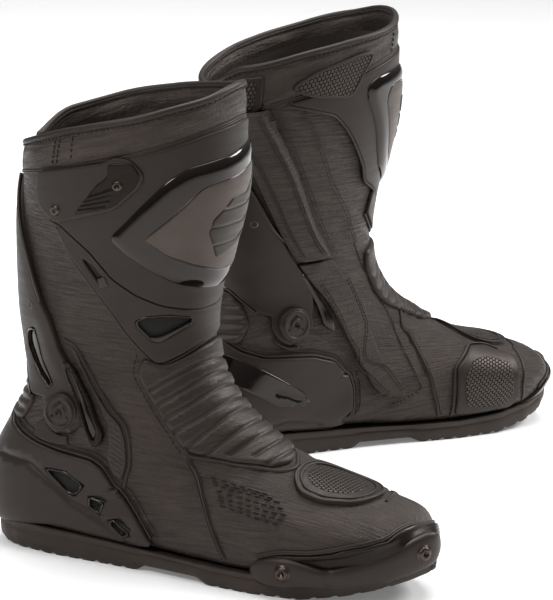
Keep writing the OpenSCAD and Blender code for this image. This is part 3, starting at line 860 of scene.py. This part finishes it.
TONGUE = {-1: on_side(-1, [(-2.5, 77), (-19, 76.5), (-31, 79), (-31, 87)]),
          1: on_side(1, [(-2.5, 80), (-11, 80), (-22, 86)])}


# ---------------------------------------------------------------- pieces of the foot

def wrinkles(u, v, size):
    """Soft uneven wave for creased leather, in millimetres."""
    x, y = u * 0.85, np.interp(v, V_AT, V_LENGTH)
    wave = (np.sin(0.21 * y + 1.3 * np.sin(0.045 * x + 0.6) + 0.9 * np.sin(0.11 * y))
            + 0.6 * np.sin(0.43 * y + 0.07 * x + 1.7 * np.sin(0.06 * x))
            + 0.4 * np.sin(0.16 * x + 0.05 * y))
    return size * 0.5 * wave


def rides(body):
    """Gives the function that puts a piece on a body, and hides the CAD nodes it stands for."""
    def put(obj, *names):
        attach(obj, boot.body(body))
        if names:
            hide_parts(*boot.nodes(*names))
    return put


on_foot, on_shaft, on_flap = (rides(body) for body in ("foot", "shaft", "flap"))


def at_ankle(obj, *names):
    """Keeps a soft piece that spans the ankle where it is built, attached to neither the foot nor the
    shaft, and hides the CAD nodes it stands for.
    """
    start, end = (tuple(boot.point(ANKLE_X, 0, z)) for z in ANKLE_BEND)
    boot.body("foot")
    boot.body("shaft")
    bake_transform(obj)
    if names:
        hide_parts(*boot.nodes(*names))


def tread(x, y):
    """1 in a groove, 0 on a lug: slanted bars under the ball and heel, a plain waist."""
    slant = x + 0.45 * np.abs(y)
    groove = ((slant % 11.0) < 2.4) | (np.abs(y) < 1.6)
    return np.where(groove & ((x < 40) | (x > 104)), 1.0, 0.0)


def build_outsole():
    """The sole by its cross sections: tread, side wall with a groove, and the rim under the upper."""
    xs = np.concatenate([[-71.9, -71, -69.5, -67.5], np.arange(-65.5, 241, 2.6), [240.8]])
    rows = []
    for x in xs:
        w, c, zb, zt = (np.interp(x, SOLE[:, 0], SOLE[:, k]) for k in range(1, 5))
        low = w - min(0.35 * w, 2.2 + 2.6 * ease((-x - 10) / 40))
        across = low * np.linspace(-1, 1, 37)
        ring = [(c + y, zb + d) for y, d in zip(across, 1.8 * tread(x, across))]
        tall = zt - zb
        wall = [(low + 0.5 * (w - low), zb + 0.12 * tall), (low + 0.8 * (w - low), zb + 0.35 * tall),
                (w - 0.2, zb + 0.62 * tall), (w - 1.0, zb + 0.68 * tall), (w - 1.0, zb + 0.74 * tall),
                (w + 0.3, zb + 0.8 * tall), (w + 0.5, zt - 0.8), (w, zt), (max(w - 4, 0.4), zt)]
        ring += [(c + y, z) for y, z in wall] + [(c - y, z) for y, z in wall[::-1]]
        rows.append([(x, y, z) for y, z in ring])
    on_foot(grid("sole", rows, RUBBER, ring=True, low=True, high=True), "outsole")


def build_upper():
    """The sewn leather upper, from the collar seam to the toe, as one skin across the ankle."""
    uu, vv = np.meshgrid(even_angles(8.5, 156), np.concatenate([np.arange(0.7, 16.6, 0.08), [16.8, TOE_V]]))
    crease = wrinkles(uu, vv, 0.5) * ease((vv - 3.6) / 0.8) * (1 - ease((vv - 11.5) / 1.5))
    at_ankle(grid("upper", skin(uu, vv, crease - 0.2), BRUSHED, spread(uu, vv, True), ring=True, high=True),
             "shaft_upper", "ankle_gusset", "foot_upper")


def build_lining():
    """The padded lining, quilted at the top."""
    uu, vv = np.meshgrid(even_angles(8.0, 80), np.concatenate([[0.7], np.arange(1.0, 15.6, 0.5)]))
    puff = 0.9 * np.abs(np.sin(math.pi * uu / 30)) * ease((vv - 1.0) / 0.5) * (1 - ease((vv - 3) / 1.5))
    at_ankle(grid("lining", skin(uu, vv, -5.6 + puff), LINING, spread(uu, vv), ring=True, high=True,
                  flip=True), "inner_bootie")


def build_seams():
    """Thread rows on the leather across the ankle."""
    bellows_edge = [(-54, 8.8), (-46, 9.5), (-36, 10.95), (-23, 12.1), (-8, 12.3), (6, 11.7), (13, 11.1)]
    bellows_top = [(-64, 4.7), (-69.5, 5.2), (-65, 6.1), (-58.5, 7.45), (-56.5, 8.6)]
    rows = [STITCH_TWO_LOW, bellows_top]
    for path in (RIB_EDGE, VAMP_SEAM, bellows_edge, INSTEP_SEAM):
        rows += [shifted(path, 1.3), shifted(path, -1.3)]
    at_ankle(stitches("foot_thread", rows, THREAD, h=0.3, radius=0.55))
    for k, path in enumerate((RIB_EDGE, VAMP_SEAM, INSTEP_SEAM, bellows_edge)):
        at_ankle(tube("foot_seam_%d" % k, path, SMOOTH, radius=1.0, h=0.1))
    slits = np.array([[(-60, 10.25), (-57, 11.35), (-50, 12.45)], [(-65, 10.65), (-60, 11.8), (-51, 12.9)],
                      [(-73, 11.15), (-69, 12.1), (-61, 13.2)], [(-79, 11.5), (-77, 12.3), (-74, 13.2)]])
    slits = [*slits, *(slits[:-1] + slits[1:]) / 2]
    on_foot(stitches("flex_slits", slits, MESH, h=0.1, pitch=6.0, length=4.4, radius=0.6))


def build_bellows():
    """The stretch panels over the instep, behind the ankle and beside it."""
    curves = []
    for path in GROOVES:
        u, v = np.array(path).T
        across = np.linspace(u[0], u[2], 14)
        curves.append(list(zip(across, np.polyval(np.polyfit(u, v, 2), across))))
    at_ankle(panel("instep_bellows", BELLOWS, STRETCH, base=0.2, thick=3.0, edge=2.6, corner=6,
                   res=2.4, lines=[(path, 2.4, -2.0) for path in curves]), "instep_bellows")
    at_ankle(stitches("bellows_thread", curves, THREAD, h=1.1, radius=0.5, pitch=4.5, length=3.0))

    def rolls(u, v, d):
        return 2.4 * np.abs(np.sin(math.pi * (v - 5.18) / 0.31)) ** 0.7 - 1.2

    at_ankle(panel("achilles_bellows", ACHILLES, STRETCH, base=0.3, thick=1.6, edge=2.0, corner=4,
                   res=2.0, relief=rolls), "achilles_bellows")

    def fine(u, v, d):
        p = shape(u, v)
        return 1.0 * np.abs(np.sin(math.pi * (p[..., 2] + 0.55 * p[..., 0]) / 3.4)) - 0.5

    at_ankle(panel("rib_panel", RIB_PANEL, STRETCH, base=0.2, thick=1.1, edge=1.0, corner=3, res=1.0,
                   relief=fine))


def build_heel():
    """The heel cup with its windows, edges and gloss inlay, and the tongues below the ankle covers."""
    on_foot(panel("heel_cup", HEEL, MOULDED, base=0.5, thick=2.8, edge=1.4, corner=5, res=3.0,
                  holes=HEEL_HOLES, hole_corner=1.0, lines=[(HEEL_CREASE, 3.0, -1.6), (HEEL_LOW, 2.5,
                  -1.4)]), "heel_cup")
    on_foot(panel("heel_inlay", HEEL_GLOSS, GLOSS, base=2.9, thick=1.2, edge=1.0, corner=3, res=3.0,
                  lines=[(HEEL_SLIT, 1.6, -0.8)]))
    for k, hole in enumerate(HEEL_HOLES):
        on_foot(tube("heel_lip_%d" % k, hole, GLOSS, radius=0.8, h=3.0, closed=True))
        on_foot(panel("heel_mesh_%d" % k, hole, MESH, base=0.0, thick=0.5, edge=0.4, corner=1))
    rows = [shifted(HEEL_EDGE[1:-1], -2.4), shifted(HEEL_EDGE[1:-1], -4.6)]
    at_ankle(stitches("heel_thread", rows, THREAD, h=0.35, radius=0.55))
    at_ankle(tube("heel_piping", shifted(HEEL_EDGE[1:-1], -1.0), SMOOTH, radius=1.1, h=0.5))
    for side, name in SIDES:
        on_foot(panel("ankle_tongue_" + name, round_ankle(side, ARM_R + 0.8, 205, 285, 9) + TONGUE[side],
                      SOFT, base=0.4, thick=1.5, edge=1.0, corner=1.5, res=3.0))


def build_toe():
    """The toe guard, the pad on top of the toe and the pad for the gear lever."""
    us = np.linspace(TOE_EDGE[0][0], TOE_EDGE[-1][0], 141)
    edge = np.interp(us, *np.array(TOE_EDGE).T)
    # share of the way from the edge to the tip, height
    steps = ([(0.0, -0.8), (0.0, 0.9), (0.012, 1.7), (0.03, 2.2), (0.06, 2.4)] + [(t, 2.4) for t in
             (0.1, 0.15, 0.2, 0.28, 0.36, 0.45, 0.55, 0.65, 0.75, 0.85, 0.92, 1.0)])
    hollow = np.exp(-((us + 85) / 42) ** 2)
    points = []
    for t, h in steps:
        dip = 1.7 * hollow * ease((t - 0.1) / 0.15) * (1 - ease((t - 0.5) / 0.2))
        points.append(skin(us, edge + (TOE_V - edge) * t, h - dip))
    uv = np.stack(np.meshgrid(us * 0.85, [80 * s[0] for s in steps]), -1)
    on_foot(grid("toe_guard", points, SATIN, uv, high=True), "toe_cap")
    for k, d in enumerate((0.9, 2.6)):
        on_foot(tube("toe_piping_%d" % k, shifted(TOE_EDGE[1:-1], -d), SMOOTH, radius=0.8, h=0.4))

    def sunk(u, v, d):
        return -0.9 * ease((d - 4.2) / 0.6) + 0.8 * ease((d - 5.4) / 0.8)

    def shrunk(size):
        centre = np.mean(TOE_PATCH, axis=0)
        return [tuple(centre + (np.array(p) - centre) * size) for p in TOE_PATCH]

    on_foot(panel("toe_patch", TOE_PATCH, SOFT, base=0.2, thick=2.0, edge=1.4, corner=5, relief=sunk,
                  res=1.8), "toe_patch")
    for k, size in enumerate((0.97, 0.82)):
        on_foot(tube("toe_patch_ring_%d" % k, shrunk(size), SOFT, radius=1.1, h=2.1, closed=True))
    on_foot(panel("toe_patch_grip", shrunk(0.62), HEX, base=1.6, thick=0.9, edge=1.0, corner=4, res=2.0))
    on_foot(panel("shift_pad", SHIFT, SOFT, base=0.2, thick=1.5, edge=1.6, corner=4), "shift_pad")
    on_foot(panel("shift_grip", SHIFT_IN, HEX, base=1.4, thick=0.9, edge=1.0, corner=4))
    on_foot(tube("shift_piping", shifted(SHIFT[:6], 2.4), SMOOTH, radius=0.9, h=0.8))
    on_foot(tube("toe_seam", [(0, 14.3), (30, 14.1)] + TOE_LINE, SMOOTH, radius=1.0, h=0.1))


def build_slider():
    """Wear part on the outer edge of the toe: a low pad, then a bar that sweeps up round the toe."""
    axis = np.array([(136, -47, 15.5), (148, -50, 17.5), (162, -50.5, 19), (176, -48, 18.5),
                     (188, -44, 17.5), (200, -38.5, 18.5), (212, -30.5, 21.5), (225, -22, 26.5),
                     (234.5, -9, 31.5), (240, 3, 35), (240.5, 13, 37)], float)
    half = np.array([5.0, 8.5, 9.5, 7.5, 6.0, 7.5, 8.5, 9.5, 11.0, 11.0, 7.0])
    t = np.linspace(0, len(axis) - 1, 61)
    rows = spline_rows(np.column_stack([axis, half]), t)
    centre, half = rows[:, :3], rows[:, 3]
    along = np.gradient(centre, axis=0)
    along /= np.linalg.norm(along, axis=1, keepdims=True)
    out = np.stack([along[:, 1], -along[:, 0], np.zeros(len(t))], 1)
    out /= np.linalg.norm(out, axis=1, keepdims=True)
    up = np.cross(out, along)
    up *= np.sign(up[:, 2:])
    ends = np.sqrt(np.clip(1 - (np.abs(t / t[-1] - 0.5) * 2) ** 14, 0.0, 1))  # rounds off both ends
    profile = [(-1, -3), (-1.0, 1.0), (-0.9, 2.3), (-0.7, 3.0), (-0.3, 3.4), (0.3, 3.4), (0.7, 3.0),
               (0.9, 2.3), (1.0, 1.0), (1, -3)]
    notch = 1.0 - 0.55 * np.exp(-((t - 4.15) / 0.12) ** 2)
    points = np.array([centre + up * (half * ends * a)[:, None]
                       + out * (b * np.where(b > 0, ends * notch, 1))[:, None]
                       for a, b in profile]).transpose(1, 0, 2)
    on_foot(grid("toe_slider", points, MOULDED, ring=True, low=True, high=True), "toe_slider")
    for k, i in enumerate((12, 50)):  # rows at the middle of each lobe
        head = screw("slider_screw_%d" % k, centre[i] + out[i] * 3.2, out[i], 4.6)
        on_foot(head, *["slider_screws"] * (k == 0))


# ---------------------------------------------------------------- pieces of the shaft

def screw(name, centre, axis, radius):
    """A button head with a hexagon socket, on a washer."""
    profile = [(radius * 1.25, -0.6), (radius * 1.25, 0.3), (radius * 1.02, 0.1), (radius, 1.0),
               (radius * 0.86, 1.8), (radius * 0.6, 2.2), (radius * 0.5, 2.2, 6),
               (radius * 0.46, 0.9, 6), (0.2, 0.8)]
    return lathe(name, centre, axis, profile, SCREW, 36)


def screw_on_skin(name, u, v, h, radius):
    p = skin(np.array([u, u]), np.array([v, v]), np.array([h, h + 1]))
    return screw(name, p[0], p[1] - p[0], radius)


def build_collar():
    """The padded collar, rolled over the rim."""
    us = np.linspace(-180, 180, 121)[:-1]
    edge = np.interp(us, *np.array(COLLAR_SEAM).T)
    soft = 0.5 * np.sin(np.radians(us * 5)) + 0.4 * np.sin(np.radians(us * 11 + 40))
    # share of the way down to the seam, height, softness
    steps = [(1.0, -0.6, 0), (1.0, 0.5, 0), (0.93, 0.9, 0), (0.8, 1.3, 0.3), (0.6, 1.5, 0.7),
             (0.4, 1.3, 0.6), (0.22, 0.9, 0.3), (0.16, 0.5, 0), (0.13, 1.6, 0), (0.05, 2.3, 0),
             (-0.03, 2.0, 0), (-0.08, 0.9, 0), (-0.09, -0.5, 0), (-0.07, -1.8, 0), (-0.01, -2.6, 0),
             (0.08, -2.8, 0), (0.14, -2.2, 0), (0.2, -3.2, 0.4), (0.5, -4.4, 0.6), (1.0, -5.0, 0)]
    points = [skin(us, t * edge, h + soft * a) for t, h, a in steps]
    uv = np.stack(np.meshgrid(us * 0.95, np.arange(len(steps)) * 2.0), -1)
    on_shaft(grid("collar", points, BRUSHED, uv, ring=True), "collar")
    turn = np.arange(-175, 180, 8.0)
    seam = np.interp(turn, *np.array(COLLAR_SEAM).T)
    on_shaft(tube("collar_roll", [(u, -0.03) for u in range(-180, 184, 8)], SMOOTH, radius=2.3, h=0.0,
                  squash=1.0))
    rows = [list(zip(turn, 0.19 * seam)), [(-109, 0.25), (-111, 0.95)], [(-106, 0.25), (-108, 0.95)],
            [(-98, 0.25), (-99, 0.9)], [(45, 0.25), (50, 0.74)]]
    on_shaft(stitches("collar_thread", rows, THREAD, h=1.5, radius=0.6))
    on_shaft(stitches("collar_thread_inner", [list(zip(turn, 0.17 * seam))], THREAD, h=-2.4))
    for k, (drop, h) in enumerate(((0.0, 0.6), (2.4, 0.7))):
        path = [(u, v + drop / 55) for u, v in COLLAR_SEAM[1:-1]]  # the sections are 55 mm apart here
        on_shaft(tube("collar_piping_%d" % k, path, SMOOTH, radius=0.8, h=h))


def build_shin():
    """The shin panel with its mesh, and the gloss shield with its insert and plain relief."""
    on_shaft(panel("shin_panel", SHIN_TOP + SHIN_LOW, SOFT, base=0.2, thick=2.2, edge=1.2),
                   "shin_plate")
    for k, d in enumerate((0.7, -1.4)):
        on_shaft(tube("shin_piping_%d" % k, shifted(SHIN_LOW, d), SMOOTH, radius=1.0, h=1.9 - 0.6 * k))
    on_shaft(panel("shin_mesh", MEDIAL_HEX, HEX, base=1.2, thick=1.6, edge=1.0, corner=4))
    on_shaft(tube("shin_mesh_edge", MEDIAL_HEX, SMOOTH, radius=1.1, h=2.5, closed=True))

    def bevel(u, v, d):
        return 1.6 * ease(d / 7.0)

    on_shaft(panel("shield", SHIELD, GLOSS, base=1.3, thick=2.4, edge=2.0, corner=5, res=2.4,
                   relief=bevel), "shield_frame")

    def stepped(u, v, d):
        return 0.3 * ease((d - 1.5) / 2)

    on_shaft(panel("shield_insert", INSERT, INSERT_MATERIAL, base=4.4, thick=1.2, edge=0.9, corner=3,
                   relief=stepped), "shield_insert")
    on_shaft(tube("insert_groove", INSERT, GLOSS, radius=0.8, h=5.0, closed=True))
    bars = [[(-24, 2.42), (10, 2.42), (34, 2.25)], [(-16, 2.72), (6, 2.7), (24, 2.5)],
            [(-14, 2.16), (10, 2.16), (36, 1.98)]]
    on_shaft(panel("insert_relief", EMBOSS, SOFT, base=5.2, thick=1.3, edge=0.9, corner=1.5, res=2.0,
                   lines=[(bar, 1.2, -1.2) for bar in bars]))


def build_vent():
    """The vent plate, its ribbed pad and the four plate screws."""
    ribs = [([(-93 - 2 * k, 1.72 + 0.06 * k), (-79 - k, 1.62 + 0.09 * k)], 0.9, 0.6) for k in range(4)]
    on_shaft(panel("vent_plate", VENT_PLATE, SOFT, base=1.6, thick=2.4, edge=1.0, corner=4, res=2.6),
                   "vent_plate")
    on_shaft(panel("vent_pad", VENT_PAD, SATIN, base=3.2, thick=1.5, edge=1.0, corner=3, res=2.2,
                   lines=ribs))
    for k, (u, v, h, r) in enumerate(((-107, 1.86, 3.4, 3.6), (-76, 1.55, 4.0, 3.6), (-129, 3.8, 2.7, 3.8),
                                      (134, 3.52, 2.7, 3.8))):
        head = screw_on_skin("plate_screw_%d" % k, u, v, h, r)
        on_shaft(head, *["plate_screws"] * (k == 0))


def build_wing():
    """The V-shaped panel with a slot and a mesh vent."""
    on_shaft(panel("side_wing", WING, SOFT, base=0.3, thick=2.2, edge=1.0, holes=[WING_MESH,
                   WING_SLOT], res=2.8), "side_wing")
    on_shaft(panel("wing_mesh", WING_MESH, MESH, base=-0.2, thick=0.6, edge=0.5, corner=2))
    on_shaft(panel("wing_slot", WING_SLOT, MESH, base=-0.2, thick=0.6, edge=0.5, corner=1))
    on_shaft(tube("wing_lip", WING_MESH, GLOSS, radius=0.8, h=2.2, closed=True))
    shelf = [(-55, 4.32), (-48, 4.46), (-26, 4.12), (-23, 4.02), (-46, 4.28)]
    on_shaft(panel("wing_shelf", shelf, GLOSS, base=1.6, thick=1.4, edge=0.9, corner=2))
    tab = [(-85, 3.16), (-81, 3.12), (-78, 3.34), (-83, 3.36)]
    on_shaft(panel("wing_tab", tab, GLOSS, base=1.6, thick=1.4, edge=0.8, corner=1))
    for k, d in enumerate((1.2, -1.0)):
        on_shaft(tube("wing_piping_%d" % k, shifted(WING_LOW, d), SMOOTH, radius=1.1, h=1.4 - k))


def build_calf():
    """The calf plate with its arms round the pivots, its trims and the rear vent."""
    outer_arc = round_ankle(-1, ARM_R, 20, -200, 20)
    inner_arc = round_ankle(1, ARM_R, -200, 20, 20)
    outline = CALF_FRONT + outer_arc + CALF_REAR + inner_arc + CALF_FRONT_IN

    def swell(u, v, d):
        return 0.9 * ease(d / 9) * (1 - ease((v - 5) / 1))

    on_shaft(panel("calf_plate", outline, SOFT, base=0.8, thick=3.0, edge=1.2, corner=4, res=3.0,
                   holes=[CALF_HOLE], relief=swell), "calf_plate", "ankle_brace")
    on_shaft(panel("calf_inlay", CALF_HOLE, GLOSS, base=0.4, thick=1.6, edge=2.2, corner=2, res=2.0))
    on_shaft(tube("calf_inlay_edge", CALF_HOLE, GLOSS, radius=0.9, h=3.5, closed=True))
    trims = [CALF_FRONT_IN[3:], CALF_FRONT[:5], CALF_REAR[:4:-1], CALF_REAR[2::-1]]
    for k, path in enumerate(trims):
        on_shaft(tube("calf_trim_%d" % k, path, GLOSS if k != 1 else MOULDED, radius=1.4, h=3.0))
    on_shaft(panel("front_ring", FRONT_RING, SATIN, base=2.6, thick=2.2, edge=1.3, corner=3, res=1.2,
                   holes=[FRONT_SLOT]))
    on_shaft(panel("front_ring_base", FRONT_SLOT, GLOSS, base=2.4, thick=1.0, edge=1.2, corner=2, res=1.2))
    on_shaft(panel("inner_strip", INNER_STRIP, GLOSS, base=2.4, thick=1.8, edge=1.8, corner=3, res=2.0))

    vent = [(196, 1.95), (199, 2.6), (193, 3.6), (188, 4.1), (172, 4.1), (167, 3.6), (161, 2.6),
            (164, 1.95)]
    slots = [[(192, 2.3), (194, 2.7), (190, 3.5), (186, 3.6), (187, 2.4)],
             [(168, 2.3), (166, 2.7), (170, 3.5), (174, 3.6), (173, 2.4)]]
    on_shaft(panel("rear_vent", vent, GLOSS, base=2.2, thick=3.4, edge=2.6, corner=5, holes=slots,
                   res=2.4), "rear_vent")


def build_ankle():
    """Round covers over the ankle pivots, each with a socket and three small dots, and the pins below."""
    cover = [(12.3, -4.6), (12.3, -0.4), (11.9, 0.1), (11.4, 0.2), (10.9, -0.2), (10.7, 1.2), (10.3, 1.7),
             (9.6, 1.9), (9.1, 1.6), (9.0, 1.0), (8.5, 0.8), (4.8, 0.8), (4.5, 1.3), (4.1, 1.5), (3.0, 1.5),
             (2.7, 1.1), (2.4, 1.1, 6), (2.2, 0.3, 6), (0.2, 0.2)]
    pin = [(9.0, -14.0), (9.0, -4.2), (8.4, -3.6), (0.2, -3.6)]
    dot = [(1.0, -0.3), (1.0, 0.3), (0.7, 0.5), (0.6, 0.0), (0.1, 0.0)]
    for side, name in SIDES:
        axis, centre = (0, side, 0), (ANKLE_X, side * COVER_Y, ANKLE_Z)
        on_shaft(lathe("pivot_" + name, centre, axis, cover, MOULDED, 60))
        on_foot(lathe("pivot_pin_" + name, centre, axis, pin, SCREW, 36), *["ankle_pivots"] * (side < 0))
        for k in range(3):
            t = math.radians(90 + 120 * k)
            spot = (ANKLE_X + 6.6 * math.cos(t), side * (COVER_Y + 0.8), ANKLE_Z + 6.6 * math.sin(t))
            on_shaft(lathe("pivot_%s_dot_%d" % (name, k), spot, axis, dot, GLOSS, 16))


def build_flap():
    """The flap over the zip, its sewn tail down to the foot, and the tab above it."""
    vs = np.linspace(0.95, 4.5, 60)
    front = np.interp(vs, [0.95, 1.3, 2.6, 4.5], [132, 128, 108, 82])
    rear = np.interp(vs, [0.95, 1.3, 2.6, 4.5], [160, 158, 134, 104])
    across = np.concatenate([[0, 0.04, 0.08, 0.12, 0.16], np.linspace(0.25, 0.85, 8), [0.9, 0.95, 1.0]])
    top = 2.0 + 6.3 * ease(across / 0.16) - 2.0 * ease((across - 0.86) / 0.14)
    profile = ([(s, h) for s, h in zip(across, top)] + [(1.015, top[-1] - 0.8)]
               + [(s, h - 1.5) for s, h in zip(across[::-1], top[::-1])])
    points = []
    for v, a, b in zip(vs, front, rear):
        s, h = np.array(profile).T
        ripple = 0.12 * np.sin(v * 23 + 2 * np.sin(5 * v)) * (h > 3)
        points.append(skin(a + (b - a) * s, np.full(len(s), v), h + ripple))
    uv = np.stack(np.meshgrid([28 * p[0] for p in profile], np.interp(vs, V_AT, V_LENGTH)), -1)
    on_flap(grid("closure_flap", points, BRUSHED, uv, ring=True, low=True, high=True, flip=True),
            "closure_flap")
    rows = [list(zip(front + (rear - front) * place, vs))[2:-2] for place in (0.2, 0.27, 0.74, 0.81)]
    on_flap(stitches("flap_thread", rows, THREAD, h=8.4, radius=0.55))
    at_ankle(panel("flap_tail", TAIL, BRUSHED, base=0.8, thick=2.4, edge=1.2, corner=3, res=2.4),
                   "flap_tail")
    rows = [TAIL_FRONT, shifted(TAIL_FRONT, 2.0), TAIL_REAR, shifted(TAIL_REAR, 2.0)]
    at_ankle(stitches("tail_thread", rows, THREAD, h=3.2, radius=0.55))
    rows = [shifted(STITCH_FRONT, 1.2), shifted(STITCH_FRONT, -1.2), STITCH_TWO, shifted(STITCH_TWO, 2.2)]
    on_shaft(stitches("closure_thread", rows, THREAD, h=1.3))
    on_shaft(panel("pull_tab", PULL_TAB, SOFT, base=1.6, thick=1.6, edge=1.2, corner=4))
    grip = [(168, 0.32), (160, 0.34), (141, 0.4), (142, 0.9), (156, 1.1), (164, 0.85)]
    on_shaft(panel("pull_tab_grip", grip, HEX, base=2.8, thick=1.0, edge=0.9, corner=3))


def finish_cad():
    """Materials for the internal parts that keep their CAD shape."""
    for name, finish in (("shank", STEEL), ("zip_track", COIL), ("zip_slider", COIL), ("insole", LINING)):
        for slot in bpy.data.objects[name + "_" + boot.tag].material_slots:
            slot.material = finish


# Everything above is built for the current boot.
boots = [Boot("right"), Boot("left")]
for boot in boots:
    for build in (build_outsole, build_upper, build_lining, build_seams, build_bellows, build_heel,
                  build_toe, build_slider, build_collar, build_shin, build_vent, build_wing, build_calf,
                  build_ankle, build_flap, finish_cad):
        build()


# ---------------------------------------------------------------- floor, light and camera

def build_studio():
    """A light floor, a sky that is brighter at the top, and three round lamps."""
    mesh = bpy.data.meshes.new("floor")
    mesh.from_pydata([(-9, -9, 0), (9, -9, 0), (9, 9, 0), (-9, 9, 0)], [], [(0, 1, 2, 3)])
    floor = bpy.data.objects.new("floor", mesh)
    bpy.context.collection.objects.link(floor)
    finish = bpy.data.materials.new("floor")
    finish.use_nodes = True
    inputs = finish.node_tree.nodes["Principled BSDF"].inputs
    inputs["Base Color"].default_value = inputs["Emission Color"].default_value = (*[FLOOR_SHADE] * 3, 1)
    inputs["Emission Strength"].default_value = FLOOR_GLOW
    inputs["Roughness"].default_value = 0.7
    mesh.materials.append(finish)

    world = bpy.data.worlds.new("studio")
    world.use_nodes = True
    nodes, links = world.node_tree.nodes, world.node_tree.links
    place, split, fade = (nodes.new(kind) for kind in ("ShaderNodeTexCoord", "ShaderNodeSeparateXYZ",
                                                       "ShaderNodeMapRange"))
    links.new(place.outputs["Generated"], split.inputs[0])
    links.new(split.outputs["Z"], fade.inputs["Value"])
    for key, value in (("From Min", -0.1), ("From Max", 0.9), ("To Min", 0.05), ("To Max", 0.5)):
        fade.inputs[key].default_value = value
    links.new(fade.outputs[0], nodes["Background"].inputs["Strength"])
    nodes["Background"].inputs["Color"].default_value = (1, 1, 1, 1)
    bpy.context.scene.world = world
    bpy.context.scene.view_settings.view_transform = "Standard"
    lamps = (("top", (0.1, 0.4, 2.4), 2.2, 70), ("key", (-1.3, -1.1, 1.6), 0.6, 18),
             ("rim", (1.6, 0.5, 1.2), 0.7, 26))  # place and diameter in metres, power in watts
    for name, place, size, power in lamps:
        data = bpy.data.lights.new(name, "AREA")
        data.shape, data.size, data.energy = "DISK", size, power
        light = bpy.data.objects.new(name, data)
        light.location = place
        light.rotation_euler = (Vector((0.05, 0, 0.15)) - Vector(place)).to_track_quat("-Z", "Y").to_euler()
        bpy.context.collection.objects.link(light)


def build_camera():
    """The camera stands at the photo's angle and looks at the middle of the pair."""
    data = bpy.data.cameras.new("camera")
    data.sensor_fit = "HORIZONTAL"
    data.sensor_width = 36
    data.lens = LENS
    data.clip_end = 50
    camera = bpy.data.objects.new("camera", data)
    down = math.radians(CAMERA_DOWN)
    back = Vector((0, -math.cos(down), math.sin(down)))
    camera.location = boots[0].point(0, 0, 0) + CAMERA_DISTANCE * back
    aside, up, roll = (Matrix.Rotation(math.radians(t), 3, axis) for t, axis in zip(CAMERA_TURN, "ZXZ"))
    camera.rotation_euler = (aside @ up @ roll).to_euler()
    bpy.context.collection.objects.link(camera)
    bpy.context.scene.camera = camera


build_studio()
build_camera()
